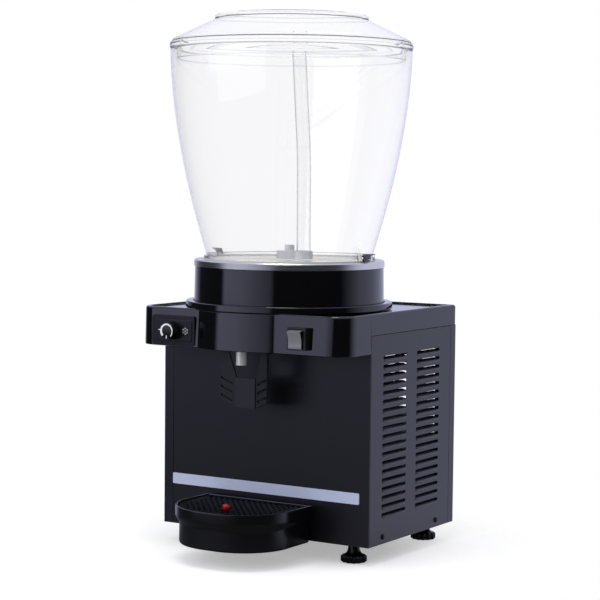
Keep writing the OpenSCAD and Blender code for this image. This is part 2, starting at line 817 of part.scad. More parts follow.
module impeller() color("#e4e4e8") {
  z1 = z_plate + 0.6;
  difference() {
    union() {
      post(0, drum_y, z_well + slip, z1, shaft_r + 2.5);
      post(0, drum_y, z_well + slip, z_well + 2.5, impeller_r);
      for (i = [0:5]) translate([0, drum_y, 0]) rotate(60 * i)
        box(shaft_r + 1, impeller_r - 0.2, -0.8, 0.8, z_well + 2, z1);
    }
    post(0, drum_y, z_well, z1 + cut, shaft_r + run_fit);
  }
}

// Points on the spray tube's axis, above the plate
function tube_at(h) = [tube_foot_x - (h - 4) * tan(tube_tilt), drum_y, z_plate + h];

module pump_cover() color("#d3d4d8") {
  socket_r = tube_d / 2 + pump_wall;
  z0 = z_plate + slip;
  z1 = z0 + pump_h;
  difference() {
    union() {
      post(0, drum_y, z0, z1, pump_r);
      post(tube_foot_x, drum_y, z0, z1, socket_r);
      box(0, tube_foot_x, drum_y - pump_r * 0.6, drum_y + pump_r * 0.6, z0, z1);
      post(0, drum_y, z1 - cut, z1 + post_h, post_r);
    }
    post(0, drum_y, z0 - cut, z_plate + 3.2, well_r);
    box(0, tube_foot_x, drum_y - 4, drum_y + 4, z0 - cut, z_plate + 2.4);
    rod(tube_at(4), tube_at(60), tube_d / 2 + slip / 2);
    rod(tube_at(-3), tube_at(10), tube_d / 2 - tube_wall);
  }
}

module spray_tube() color("#e9ecf5", 0.4) {
  low = tube_at(4 + slip);
  difference() {
    rod(low, tube_at(tube_top), tube_d / 2);
    rod(tube_at(0), tube_at(tube_top + 4), tube_d / 2 - tube_wall);
  }
}

// Bowl and lid

// Outer radius of the bowl at a share of its height: fast at first, then upright
function bowl_r(t) = bowl_foot_r + (bowl_rim_r - bowl_foot_r) * (1 - pow(1 - t, bowl_bend));

bowl_steps = 18;
clip_len = 14;
clip_x = bowl_foot_r + flange_w + 4;
clip_z = z_foot + flange_t + 1.2;
clip_pin_r = 1.4;
lug_t = 2.5;

module bowl() color("#eef0fb", 0.3) {
  outer = [for (i = [0:bowl_steps]) let (t = i / bowl_steps) [bowl_r(t), z_foot + bowl_h * t]];
  inner = [for (i = [bowl_steps:-1:0]) let (t = i / bowl_steps) [bowl_r(t) - bowl_wall, z_foot + bowl_h * t]];
  translate([0, drum_y, 0]) rotate_extrude() polygon(concat(outer, inner));
  ring(0, drum_y, z_foot, z_foot + flange_t, bowl_foot_r + flange_w, bowl_foot_r - bowl_wall / 2);
  difference() {
    for (s = [-1, 1]) for (k = [-1, 1]) translate([0, drum_y + k * (clip_len / 2 + slip + lug_t / 2), 0])
      box(s > 0 ? bowl_foot_r : -clip_x - 3.5, s > 0 ? clip_x + 3.5 : -bowl_foot_r,
        -lug_t / 2, lug_t / 2, z_foot, clip_z + 3.2);
    post(0, drum_y, z_foot - cut, clip_z + 6, bowl_foot_r - bowl_wall / 2);
    for (s = [-1, 1]) bar_y(s * clip_x, drum_y - clip_len, drum_y + clip_len, clip_z, clip_pin_r + 0.02);
  }
}

module clip_pins() color("#b4b7bd") {
  reach = clip_len / 2 + slip + lug_t;
  for (s = [-1, 1]) bar_y(s * clip_x, drum_y - reach, drum_y + reach, clip_z, clip_pin_r);
}

// Cam clip beside the bowl's foot: a nose that bears towards the plate and a thumb tab
module bowl_clip(s) color("#55565c") {
  nose = clip_z - z_plate - slip;
  mirror([s < 0 ? 1 : 0, 0, 0]) translate([clip_x, drum_y, clip_z]) difference() {
    union() {
      bar_y(0, -clip_len / 2, clip_len / 2, 0, 3.2);
      box(-1.5, 3.2, -clip_len / 2, clip_len / 2, 0, 5);
      box(0, 10, -clip_len / 2, clip_len / 2, 3.4, 5);
      intersection() {
        bar_y(0, -clip_len / 2, clip_len / 2, 0, nose);
        box(-1.6, 1.6, -clip_len / 2, clip_len / 2, -nose, 0);
      }
    }
    bar_y(0, -clip_len, clip_len, 0, clip_pin_r + run_fit);
  }
}

module bowl_clip_left() { bowl_clip(-1); }
module bowl_clip_right() { bowl_clip(1); }

module lid() color("#eef0fb", 0.3) {
  r = bowl_rim_r + lid_over;
  skirt_r = bowl_r(1) - bowl_wall - lid_gap;
  z1 = z_lid + lid_rim_h;
  z2 = z1 + lid_cone_h;
  z3 = z2 + lid_step_h;
  w = lid_wall;
  dome = [for (i = [1:6]) [lid_top_r * (1 - i / 6), z3 + lid_dome_h * (1 - pow(1 - i / 6, 2))]];
  under = [for (i = [6:-1:0]) [(lid_top_r - w) * (1 - i / 6), z3 - w + lid_dome_h * (1 - pow(1 - i / 6, 2))]];
  translate([0, drum_y, 0]) rotate_extrude() polygon(concat(
    [[r, z_lid], [r, z1], [lid_top_r, z2], [lid_top_r, z3]],
    dome, under,
    [[lid_top_r - w, z2 - w * 0.4],
      [skirt_r - w, z1 - w * 1.2 + (r - skirt_r) * lid_cone_h / (r - lid_top_r)],
      [skirt_r - w, z_rim - lid_skirt_h], [skirt_r, z_rim - lid_skirt_h], [skirt_r, z_lid]]
  ));
}

// Tap

module tap_bracket() color("#1a1a1d") {
  z0 = pivot_z - hub_r;
  shelf_z = valve_port_z + 1;
  x = ear_x + ear_t;
  difference() {
    union() {
      box(-x, x, front_y - 3, front_y, z0, shelf_z);
      for (s = [-1, 1]) translate([s * (ear_x + ear_t / 2), 0, 0])
        box(-ear_t / 2, ear_t / 2, pivot_y - hub_r, front_y, z0, pivot_z + hub_r);
      box(-x, x, valve_y - 2, front_y, shelf_z - 3, shelf_z);
    }
    bar_x(-x - cut, x + cut, pivot_y, pivot_z, pin_r + 0.02);
    post(0, valve_y, z0 - cut, shelf_z + cut, valve_r + slip / 2);
  }
}

module lever_pin() color("#a9adb3") {
  x = ear_x + ear_t;
  bar_x(-x, x, pivot_y, pivot_z, pin_r);
}

module valve_body() color("#3b3c41") {
  difference() {
    union() {
      post(0, valve_y, valve_z0, valve_z1, valve_r);
      post(0, valve_y, valve_port_z + 1, valve_port_z + 4, valve_r + 3);
    }
    post(0, valve_y, valve_z0 - cut, valve_z0 + valve_floor + cut, stem_r + run_fit);
    post(0, valve_y, valve_z0 + valve_floor, seat_z - 2, bore_in_r);
    post(0, valve_y, seat_z - 3, seat_z + cut, seat_r);
    post(0, valve_y, seat_z, valve_z1 - 3, bore_in_r);
    post(0, valve_y, valve_z1 - 4, valve_z1 + cut, pipe_r - 1);
    bar_y(0, valve_y - valve_r - 4, valve_y, valve_port_z, spout_d / 2 + 0.02);
  }
}

// Spout: from the valve forward, round a bend and straight down
module tap_spout() color("#d5d8dc") {
  bend = 12;
  r = spout_d / 2;
  y_bend = spout_y + bend;
  z_low = z_belly - spout_low;
  difference() {
    union() {
      post(0, spout_y, z_low, valve_port_z - bend, r);
      bar_y(0, y_bend, valve_y - bore_in_r, valve_port_z, r);
      translate([0, y_bend, valve_port_z - bend]) rotate([90, 0, -90]) rotate_extrude(angle = 90)
        translate([bend, 0]) circle(r = r);
    }
    post(0, spout_y, z_low - cut, valve_port_z - bend, r - spout_wall);
    bar_y(0, y_bend, valve_y, valve_port_z, r - spout_wall);
    translate([0, y_bend, valve_port_z - bend]) rotate([90, 0, -90]) rotate_extrude(angle = 90)
      translate([bend, 0]) circle(r = r - spout_wall);
  }
}

module drain_pipe() color("#c9ccd1") {
  ring(0, valve_y, valve_z1, z_plate, pipe_r, pipe_r - 1);
}

// Helical spring above the seal
module valve_spring() color("#cfd2d6") {
  sides = 6;
  turns = 3;
  wire_r = 0.4;
  r = seal_r - 2;
  z0 = seat_z + slip + seal_t + wire_r + 0.1;
  rise = valve_z1 - 3 - wire_r - 0.1 - z0;
  steps = turns * 12;
  rings = [for (i = [0:steps]) let (a = 360 * turns * i / steps)
    [for (k = [0:sides - 1]) let (b = 360 * k / sides, q = r + wire_r * cos(b))
      [q * cos(a), q * sin(a), rise * i / steps + wire_r * sin(b)]]];
  points = [for (ring_pts = rings) for (p = ring_pts) p];
  walls = [for (i = [0:steps - 1]) for (k = [0:sides - 1]) let (n = (k + 1) % sides)
    each [[i * sides + k, i * sides + n, (i + 1) * sides + n],
      [i * sides + k, (i + 1) * sides + n, (i + 1) * sides + k]]];
  first_end = [for (k = [1:sides - 2]) [0, k + 1, k]];
  last_end = [for (k = [1:sides - 2]) [steps * sides, steps * sides + k, steps * sides + k + 1]];
  translate([0, valve_y, z0]) polyhedron(points = points, faces = concat(walls, first_end, last_end));
}

module valve_plunger() color("#d5d8dc") {
  tip = 1.5;
  translate([0, valve_y, stem_z]) cylinder(r1 = stem_r - tip, r2 = stem_r, h = tip);
  post(0, valve_y, stem_z + tip, seat_z + slip, stem_r);
}

module valve_seal() color("#c9c9cd") {
  post(0, valve_y, seat_z + slip, seat_z + slip + seal_t, seal_r);
}

// Outline of the lever in the plane of X and Z, on one side of the middle
module lever_half() {
  top = z_belly - lever_top - pivot_z;
  pad_top = top - notch_h;
  low = pad_top - pad_h;
  polygon([[0, low], [pad_half, low], [pad_half + wing_w, low + 9], [pad_half + wing_w, top],
    [pad_half + wing_w * 0.52, top], [pad_half, pad_top], [0, pad_top]]);
}

module tap_lever() color("#18181b") {
  top = z_belly - lever_top - pivot_z;
  arm_x0 = pad_half + wing_w * 0.55;
  arm_x1 = pad_half + wing_w;
  yaw = atan2(wing_fwd, wing_w);
  pad_top = top - notch_h;
  translate([0, pivot_y, pivot_z]) difference() {
    union() {
      for (s = [0, 1]) mirror([s, 0, 0]) {
        intersection() {
          translate([0, pad_y, 0]) rotate([90, 0, 0]) linear_extrude(lever_t) lever_half();
          box(-cut, pad_half, -60, 60, -120, 20);
        }
        intersection() {
          translate([pad_half, pad_y, 0]) rotate([0, 0, -yaw]) translate([-pad_half, 0, 0])
            rotate([90, 0, 0]) linear_extrude(lever_t) lever_half();
          box(pad_half - 0.5, pad_half + wing_w, -60, 60, -120, 20);
        }
        box(arm_x0, arm_x1, pad_y - lever_t - 2.5, hub_r * 0.6, top - 2, -hub_r * 0.4);
        bar_x(arm_x0, arm_x1, 0, 0, hub_r);
        box(arm_x0 - cut, arm_x1, 0, hub_r, -3, 3);
        box(-cut, arm_x1, pin_r + 1.5, hub_r + 2.5, -3, 3);
      }
      box(-4, 4, pin_r + 1.5, arm + 3, -3, 3);
      box(-pad_half, pad_half, pad_y - lever_t - 1.5, pad_y, pad_top - pad_h, pad_top);
    }
    bar_x(-ear_x, ear_x, 0, 0, pin_r + run_fit);
    for (s = [0, 1]) mirror([s, 0, 0]) for (i = [0:2])
      translate([pad_half + wing_w / 2 + 1, 0, pad_top - 4 - 11.5 * i]) rotate([0, -25, 0])
        box(-9, 9, -30, cut, -1.7, 1.7);
  }
}

// Drip tray

// D-shaped block of the tray, set in by a margin on its three free sides. The posts that round its front
// corners end just behind their axes, so that they stay inside the block.
module tray_block(m, m_rear, z0, z1) {
  x = tray_half - m;
  r = tray_r - m;
  y = tray_front + m;
  box(-x, x, y + r, tray_rear - m_rear, z0, z1);
  box(-x + r, x - r, y, tray_rear - m_rear, z0, z1);
  for (s = [-1, 1]) intersection() {
    post(s * (x - r), y + r, z0, z1, r);
    box(-x - cut, x + cut, y - cut, y + r + 1, z0 - cut, z1 + cut);
  }
}

// Half width of the tray at a place between its front and its rear
function tray_width(y) = let (d = max(tray_front + tray_r - y, 0))
  tray_half - tray_r + sqrt(max(tray_r * tray_r - d * d, 0));

module drip_tray() color("#161619") {
  steps = 3;
  z_step = tray_z1 - tray_band;
  difference() {
    union() {
      tray_block(0, 0, z_step, tray_z1);
      for (i = [1:steps]) tray_block(tray_inset * i / steps, 0, z_step - tray_slope * i / steps, z_step);
      tray_block(tray_inset, 0, tray_z0, z_step);
    }
    tray_block(tray_inset + tray_wall, tray_wall, tray_z0 + tray_wall, tray_z1 + cut);
    tray_block(tray_wall, tray_wall, grille_z - slip, tray_z1 + cut);
  }
  for (s = [-1, 1]) box(s * tongue_x - tongue_w / 2, s * tongue_x + tongue_w / 2,
    tray_rear - tray_wall, front_y + sheet_t + tongue_in, tongue_z, tongue_z + tongue_t);
  post(0, float_y, tray_z0 + tray_wall - cut / 2, grille_z - 12, float_post_r);
}

module drip_grille() color("#121214") {
  gap = slip;
  deep = tray_reach - tray_gap;
  rows = floor((deep - 34) / grille_pitch);
  difference() {
    tray_block(tray_wall + gap, tray_wall + gap, grille_z, grille_z + grille_t);
    for (j = [0:rows - 1]) {
      y = tray_rear - 24 - j * grille_pitch;
      n = floor((tray_width(y) - tray_wall - 10) / 9);
      for (i = [-n:n]) if (abs(i * 9) > 14 || abs(y - float_y) > 10)
        translate([i * 9, y, grille_z - cut]) rotate(35) cube([2.6, 8.5, 3 * grille_t], center = true);
    }
    for (i = [-8:8]) translate([i * 8.8, tray_rear - 11.5, grille_z - cut]) rotate(35)
      cube([4.2, 9, 3 * grille_t], center = true);
    post(0, float_y, grille_z - cut, grille_z + grille_t + cut, float_r + 1);
  }
}

module tray_float() color("#d01818") {
  z0 = tray_z0 + tray_wall + slip;
  difference() {
    union() {
      post(0, float_y, z0, z0 + 9, 9);
      post(0, float_y, z0, grille_z + grille_t + 1, float_r - 0.8);
      post(0, float_y, grille_z + grille_t - 2, grille_z + grille_t + 6.5, float_r);
    }
    post(0, float_y, z0 - cut, grille_z - 11, float_post_r + run_fit);
  }
}

// Refrigeration set

module compressor() color("#101013") {
  post(comp_x, comp_y, comp_z0 + 3, comp_z0 + comp_h - 24, comp_r);
  translate([comp_x, comp_y, comp_z0 + comp_h - 24]) cylinder(r1 = comp_r, r2 = comp_r - 18, h = 18);
  box(comp_x - comp_r - 6, comp_x + comp_r + 6, comp_y - 22, comp_y + 22, comp_z0, comp_z0 + 3.5);
  post(comp_x + 18, comp_y + 12, comp_z0 + comp_h - 8, comp_z0 + comp_h + 4, 4);
  post(comp_x - 18, comp_y + 12, comp_z0 + comp_h - 8, comp_z0 + comp_h + 4, 5);
}

grommet_spots = [for (sx = [-1, 1]) for (sy = [-1, 1]) [comp_x + sx * (comp_r - 4), comp_y + sy * 14]];

module compressor_grommets() color("#2b2b2e") {
  for (p = grommet_spots) post(p[0], p[1], z_base + sheet_t, comp_z0, 7);
}

module terminal_box() color("#1d1d20") {
  box(comp_x - 20, comp_x + 20, comp_y - comp_r - 24, comp_y - comp_r,
    comp_z0 + comp_h * 0.3, comp_z0 + comp_h * 0.63);
}

module condenser() color("#3a3a3e") {
  for (x = [cond_x0:8:cond_x1]) box(x, x + 1, cond_y0, cond_y1, z_base + sheet_t, cond_z1);
  for (y = [cond_y0 + 20:30:cond_y1 - 15]) for (z = [z_base + 30:28:cond_z1 - 10])
    bar_x(cond_x0 - 3, cond_x1 + 3, y, z, 4);
  post(cond_x0 + 4, cond_y1 - 15, cond_z1 - 10, cond_z1 + 8, 4);
}

module fan_shroud() color("#4a4b50") {
  x0 = cond_x0 - 26;
  difference() {
    union() {
      box(x0, x0 + 2, cond_y0, cond_y1, z_base + sheet_t, cond_z1);
      bar_x(x0, x0 + 20, fan_y, fan_z, fan_r + 4);
      box(x0 - 42, x0, fan_y - 14, fan_y + 14, z_base + sheet_t, z_base + sheet_t + 3);
      box(x0 - 42, x0 - 26, fan_y - 14, fan_y + 14, z_base + sheet_t, fan_z - 20);
    }
    bar_x(x0 - 1, x0 + 21, fan_y, fan_z, fan_r + 2);
  }
}

module fan_motor() color("#77797f") {
  x0 = cond_x0 - 26;
  bar_x(x0 - 44, x0 - 8, fan_y, fan_z, 20);
  bar_x(x0 - 9, x0 + 16, fan_y, fan_z, shaft_r);
}

module fan_blades() color("#8f9298") {
  x0 = cond_x0 - 26;
  difference() {
    union() {
      bar_x(x0 + 3, x0 + 15, fan_y, fan_z, 14);
      for (i = [0:4]) translate([x0 + 9, fan_y, fan_z]) rotate([72 * i, 0, 0]) rotate([0, 0, 28])
        box(-1, 1, -14, 14, 12, fan_r - 4);
    }
    bar_x(x0, x0 + 18, fan_y, fan_z, shaft_r + run_fit);
  }
}

module filter_drier() color("#b87333") {
  post(drier_x, drier_y, z_base + sheet_t, drier_z0, 5);
  post(drier_x, drier_y, drier_z0, drier_z0 + drier_len, 9);
  post(drier_x, drier_y, drier_z0 + drier_len, drier_z0 + drier_len + 12, 4);
}

module discharge_pipe() color("#b87333") {
  z = comp_z0 + comp_h + 4;
  end = [cond_x0 + 4, cond_y1 - 15, cond_z1 + 8];
  top = z_ceiling - 40;
  pipe([[comp_x + 18, comp_y + 12, z], [comp_x + 18, comp_y + 12, top],
    [end[0], end[1], top], end], 3);
}

module suction_pipe() color("#b87333") {
  z = comp_z0 + comp_h + 4;
  top = leg_z - 22;
  pipe([[comp_x - 18, comp_y + 12, z], [comp_x - 18, comp_y + 12, top],
    [coil_legs[1][0], coil_legs[1][1], top], [coil_legs[1][0], coil_legs[1][1], leg_z]], 3);
}

base_pan();
front_panel();
left_panel();
right_panel();
rear_panel();
panel_screws();
front_strip();
top_deck();
control_plate();
plate_marks();
thermostat_body();
switch_housing();
drum_shell();
drum_foam();
cold_plate();
evaporator_coil();
bowl_gasket();
pump_motor();
compressor();
compressor_grommets();
terminal_box();
condenser();
fan_shroud();
fan_motor();
filter_drier();
discharge_pipe();
suction_pipe();
mains_gland();
tap_bracket();
lever_pin();
valve_body();
tap_spout();
drain_pipe();
valve_spring();
thermostat_knob();
knob_marks();
switch_rocker();
drive_magnet();
impeller();
pump_cover();
spray_tube();
bowl();
clip_pins();
bowl_clip_left();
bowl_clip_right();
lid();
tap_lever();
valve_plunger();
valve_seal();
drip_tray();
drip_grille();
tray_float();
fan_blades();
foot_front_left();
foot_front_right();
foot_rear_left();
foot_rear_right();
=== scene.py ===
# %% [markdown]
# # A cold drink dispenser, dressed for its portrait
#
# The machine stands on a counter: a louvred steel cabinet, a glossy moulded deck, a black drum with a
# chilled steel plate, and a clear bowl with a spray tube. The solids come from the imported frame, and this
# notebook adds what solids leave out: soft moulded edges, pressed louvres, clear plastic and real finishes.

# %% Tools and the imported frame
import math

import bmesh
import bpy
import numpy as np
from mathutils import Matrix, Vector


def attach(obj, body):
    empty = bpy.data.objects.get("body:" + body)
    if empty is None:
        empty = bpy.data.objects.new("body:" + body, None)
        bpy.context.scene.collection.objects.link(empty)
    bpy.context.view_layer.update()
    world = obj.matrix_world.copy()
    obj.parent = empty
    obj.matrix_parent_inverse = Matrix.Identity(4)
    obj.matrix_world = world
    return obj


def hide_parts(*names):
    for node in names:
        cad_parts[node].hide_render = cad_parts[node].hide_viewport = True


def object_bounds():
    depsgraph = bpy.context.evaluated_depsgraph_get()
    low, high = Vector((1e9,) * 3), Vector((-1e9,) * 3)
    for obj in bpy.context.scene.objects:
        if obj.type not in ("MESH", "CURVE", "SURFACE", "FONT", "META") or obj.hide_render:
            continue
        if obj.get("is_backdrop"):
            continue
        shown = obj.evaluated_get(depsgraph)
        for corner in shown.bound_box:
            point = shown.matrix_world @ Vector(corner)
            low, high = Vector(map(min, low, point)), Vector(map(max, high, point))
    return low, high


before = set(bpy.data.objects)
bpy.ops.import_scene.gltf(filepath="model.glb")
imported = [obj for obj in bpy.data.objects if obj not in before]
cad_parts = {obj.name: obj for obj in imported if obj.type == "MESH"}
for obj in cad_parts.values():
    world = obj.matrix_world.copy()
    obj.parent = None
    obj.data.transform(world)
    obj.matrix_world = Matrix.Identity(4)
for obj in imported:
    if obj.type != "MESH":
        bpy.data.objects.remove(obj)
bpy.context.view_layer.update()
MM = 0.001

# %% [markdown]
# ## The camera
#
# The picture was taken with a long lens from the front right, a little above the tap. Its place was worked
# out from the straight edges of the cabinet, so it is written as a point, two angles and a small roll. The
# camera comes first, because every later choice is judged through it.

# %% Camera from a point, a heading and a roll
YAW, PITCH, ROLL = math.radians(32.064), math.radians(3.939), math.radians(0.609)
LENS_MM, SENSOR_MM = 112.86, 36
camera_at = Vector((1.376857, -2.160262, 0.517248))
ahead = Vector((-math.sin(YAW) * math.cos(PITCH), math.cos(YAW) * math.cos(PITCH), -math.sin(PITCH)))
level = Vector((math.cos(YAW), math.sin(YAW), 0))
upright = level.cross(ahead)
right = math.cos(ROLL) * level + math.sin(ROLL) * upright
above = math.cos(ROLL) * upright - math.sin(ROLL) * level

camera = bpy.data.objects.new("camera", bpy.data.cameras.new("camera"))
camera.data.lens, camera.data.sensor_width = LENS_MM, SENSOR_MM
camera.matrix_world = Matrix((
    (right.x, above.x, -ahead.x, camera_at.x),
    (right.y, above.y, -ahead.y, camera_at.y),
    (right.z, above.z, -ahead.z, camera_at.z),
    (0, 0, 0, 1),
))
bpy.context.scene.collection.objects.link(camera)
bpy.context.scene.camera = camera
bpy.context.scene.view_settings.view_transform = "Standard"
print("camera lens", camera.data.lens, "mm")

# %% [markdown]
# ## Helpers for pieces
#
# Most pieces of this machine are turned or moulded, so nearly all of them are grids of points: one direction
# goes round, the other follows a profile. The helper turns such grids into one mesh, closes it where it meets
# itself, marks the sharp edges and lets it ride on its body.

# %% From grids of points to a piece that rides on a body
# How a grid's rows and columns close: both on themselves, only the columns, or only the rows
LOOPED, CAPPED, POLED = (True, True), (False, True), (True, False)
MERGE, THIN = 2e-6, 1e-7
# For copies of CAD nodes, in degrees: what counts as flat, what is rounded, and what stays sharp then
FLAT, ROUNDED, STILL_SHARP = 1.5, 30, 28


def grid_quads(rows, columns, close_rows, close_columns):
    """Corner numbers of the cells between neighbouring points: point (i, j) has number i * columns + j."""
    i = np.arange(rows if close_rows else rows - 1)[:, None]
    j = np.arange(columns if close_columns else columns - 1)[None, :]
    a, b = i * columns + j, i * columns + (j + 1) % columns
    c, d = ((i + 1) % rows) * columns + (j + 1) % columns, ((i + 1) % rows) * columns + j
    return np.stack([a, b, c, d], -1).reshape(-1, 4)


def shown(name, mesh, material, body, stands_for, sharp):
    """Shows a mesh as one piece on a body: smooth, but for the edges that turn by more than sharp degrees."""
    mesh.shade_smooth()
    mesh.set_sharp_from_angle(angle=math.radians(sharp))
    mesh.materials.append(material)
    made = bpy.data.objects.new(name, mesh)
    bpy.context.scene.collection.objects.link(made)
    made.modifiers.new("flat_walls", "WEIGHTED_NORMAL").keep_sharp = True
    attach(made, body)
    if stands_for:
        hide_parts(*stands_for)
    print(f"{name}: {len(mesh.polygons)} faces on {body}")
    return made


def piece(name, grids, closed, material, body, stands_for=(), sharp=35):
    """One piece from a grid of points in millimetres, or several of one size, merged where they close."""
    grids = np.asarray(grids, float)
    rows, columns = grids.shape[-3:-1]
    quads, cells = grid_quads(rows, columns, *closed), rows * columns
    faces = np.concatenate([quads + first for first in range(0, grids.size // 3, cells)])
    mesh = bpy.data.meshes.new(name)
    mesh.from_pydata((grids.reshape(-1, 3) * MM).tolist(), [], faces.tolist())
    work = bmesh.new()
    work.from_mesh(mesh)
    bmesh.ops.remove_doubles(work, verts=work.verts, dist=MERGE)
    bmesh.ops.dissolve_degenerate(work, edges=work.edges, dist=THIN)
    bmesh.ops.recalc_face_normals(work, faces=work.faces)
    work.to_mesh(mesh)
    work.free()
    return shown(name, mesh, material, body, stands_for, sharp)


def softened(name, node, width, material, body):
    """A merged copy of a CAD node, its edges rounded by a width in millimetres."""
    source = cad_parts[node]
    work = bmesh.new()
    work.from_mesh(source.data)
    work.transform(source.matrix_world)
    bmesh.ops.remove_doubles(work, verts=work.verts, dist=MERGE)
    bmesh.ops.dissolve_limit(work, angle_limit=math.radians(FLAT), verts=work.verts, edges=work.edges)
    edges = [e for e in work.edges if len(e.link_faces) == 2 and e.calc_face_angle() > math.radians(ROUNDED)]
    bmesh.ops.bevel(work, geom=edges, offset=width * MM, segments=3, profile=0.5, affect="EDGES",
                    clamp_overlap=True)
    bmesh.ops.triangulate(work, faces=[f for f in work.faces if len(f.verts) > 4])
    points = [tuple(v.co) for v in work.verts]
    faces = [[v.index for v in f.verts] for f in work.faces]
    work.free()
    mesh = bpy.data.meshes.new(name)
    mesh.from_pydata(points, [], faces)
    return shown(name, mesh, material, body, [node], STILL_SHARP)


# %% [markdown]
# ## Helpers for shapes
#
# A few kinds of shape come back all over the machine: profiles turned about an upright axis, arcs and lines
# in a profile, rings carried along a path, blocks with rounded ends, and knobs with a lobed grip.

# %% Profiles, plans, turned shapes and blocks
def arc(cx, cy, r, a0, a1, n=6):
    """Points on a circle's arc: (cx + r cos a, cy + r sin a) for a from a0 to a1 degrees."""
    a = np.radians(np.linspace(a0, a1, n))
    return np.stack([cx + r * np.cos(a), cy + r * np.sin(a)], -1)


def line(x0, y0, x1, y1, n):
    """n points along a straight line, ends included."""
    t = np.linspace(0, 1, n)[:, None]
    return np.array([[x0, y0]]) * (1 - t) + np.array([[x1, y1]]) * t


def turned(profile, centre, steps=180):
    """Turns a profile of (radius, height) about an upright axis: x = cx + r cos a, y = cy + r sin a."""
    profile = np.asarray(profile, float)
    angle = np.radians(360 * np.arange(steps) / steps)[:, None]
    r, z = profile[None, :, 0], profile[None, :, 1]
    return np.stack([centre[0] + r * np.cos(angle), centre[1] + r * np.sin(angle), z + 0 * angle], -1)


def lobed(levels, lobes, steps):
    """A knob with a wavy grip from levels of (radius, wave, height): r = radius + wave cos(lobes a)."""
    levels = np.asarray(levels, float)
    a = np.radians(360 * np.arange(steps) / steps)
    r = levels[:, None, 0] + levels[:, None, 1] * np.cos(lobes * a)
    return np.stack([r * np.cos(a), r * np.sin(a), levels[:, None, 2] + 0 * a], -1)


def swept(path, radii):
    """Rings carried along a path in the plane x = const, one radius for each point of the path. Each ring
    stands square to the path: its points are p + r (cos a * side + sin a * across)."""
    path, radii = np.asarray(path, float), np.asarray(radii, float)
    tangent = np.gradient(path, axis=0)
    tangent /= np.linalg.norm(tangent, axis=1, keepdims=True)
    side = np.cross(tangent, [1.0, 0, 0])
    side /= np.linalg.norm(side, axis=1, keepdims=True)
    across = np.cross(side, tangent)
    a = np.radians(np.arange(0, 360, 7.5))[None, :, None]
    return path[:, None] + radii[:, None, None] * (np.cos(a) * side[:, None] + np.sin(a) * across[:, None])


def raised(plan, height):
    """A plan's points at one height."""
    return np.column_stack([plan, np.full(len(plan), height)])


def capped(rings, middle):
    """A stack of rings whose first and last ring close on a point of their own plane."""
    first, last = (raised(np.tile(middle, (len(r), 1)), r[0, 2]) for r in (rings[0], rings[-1]))
    return np.stack([first] + rings + [last])


def prism(plan, z0, z1, r0, r1, n=5):
    """A block over a plan that can be set in: plan(inset) gives the outline, and both ends are rounded by
    quarter circles: inset = r (1 - cos a), height = r (1 - sin a) from each end. Caps close on the middle."""
    quarter = np.linspace(0, math.pi / 2, n)
    low = [(r0 * (1 - math.sin(a)), z0 + r0 * (1 - math.cos(a))) for a in quarter]
    high = [(r1 * (1 - math.cos(a)), z1 - r1 * (1 - math.sin(a))) for a in quarter]
    return capped([raised(plan(inset), z) for inset, z in low + high], plan(0).mean(axis=0))


def rectangle(x0, x1, y0, y1, r, n=6):
    """The plan of a rectangle with corners of radius r, ready to be set in."""
    def plan(inset):
        k = max(r - inset, 0.05)
        a, b, c, d = x0 + inset + k, x1 - inset - k, y0 + inset + k, y1 - inset - k
        return np.concatenate([arc(b, c, k, -90, 0, n), arc(b, d, k, 0, 90, n), arc(a, d, k, 90, 180, n),
                               arc(a, c, k, 180, 270, n)])
    return plan


def facing_front(points, y):
    """Stands a block on the front: its plan becomes x and z, and its height comes out towards the viewer."""
    return np.stack([points[..., 0], y - points[..., 2], points[..., 1]], -1)


# %% [markdown]
# ## Colour and nodes
#
# Colours are written as the hex values a designer would use, and one function turns them into the linear
# numbers that the shader needs. One more small function adds a node, so that each material reads as a list.

# %% Colour and node helpers
def paint(code):
    """sRGB hex to linear: c / 12.92 below 0.04045, else ((c + 0.055) / 1.055) to the power 2.4."""
    c = np.array([int(code[i:i + 2], 16) for i in (1, 3, 5)]) / 255
    return (*np.where(c <= 0.04045, c / 12.92, ((c + 0.055) / 1.055) ** 2.4).tolist(), 1.0)


def add(tree, kind, sockets=None, **settings):
    """Adds one node. Settings are its properties; sockets gives each input a value or an output to link."""
    made = tree.nodes.new(kind)
    for key, value in settings.items():
        setattr(made, key, value)
    for key, value in (sockets or {}).items():
        if isinstance(value, bpy.types.NodeSocket):
            tree.links.new(value, made.inputs[key])
        else:
            made.inputs[key].default_value = value
    return made


def started(name, **sockets):
    """A new material with its Principled shader set, and what detail is added to: tree, shader and place."""
    material = bpy.data.materials.new(name)
    material.use_nodes = True
    tree = material.node_tree
    shader = tree.nodes["Principled BSDF"]
    for key, value in sockets.items():
        shader.inputs[key.replace("_", " ")].default_value = value
    where = add(tree, "ShaderNodeTexCoord").outputs["Object"]
    return material, tree, shader, where


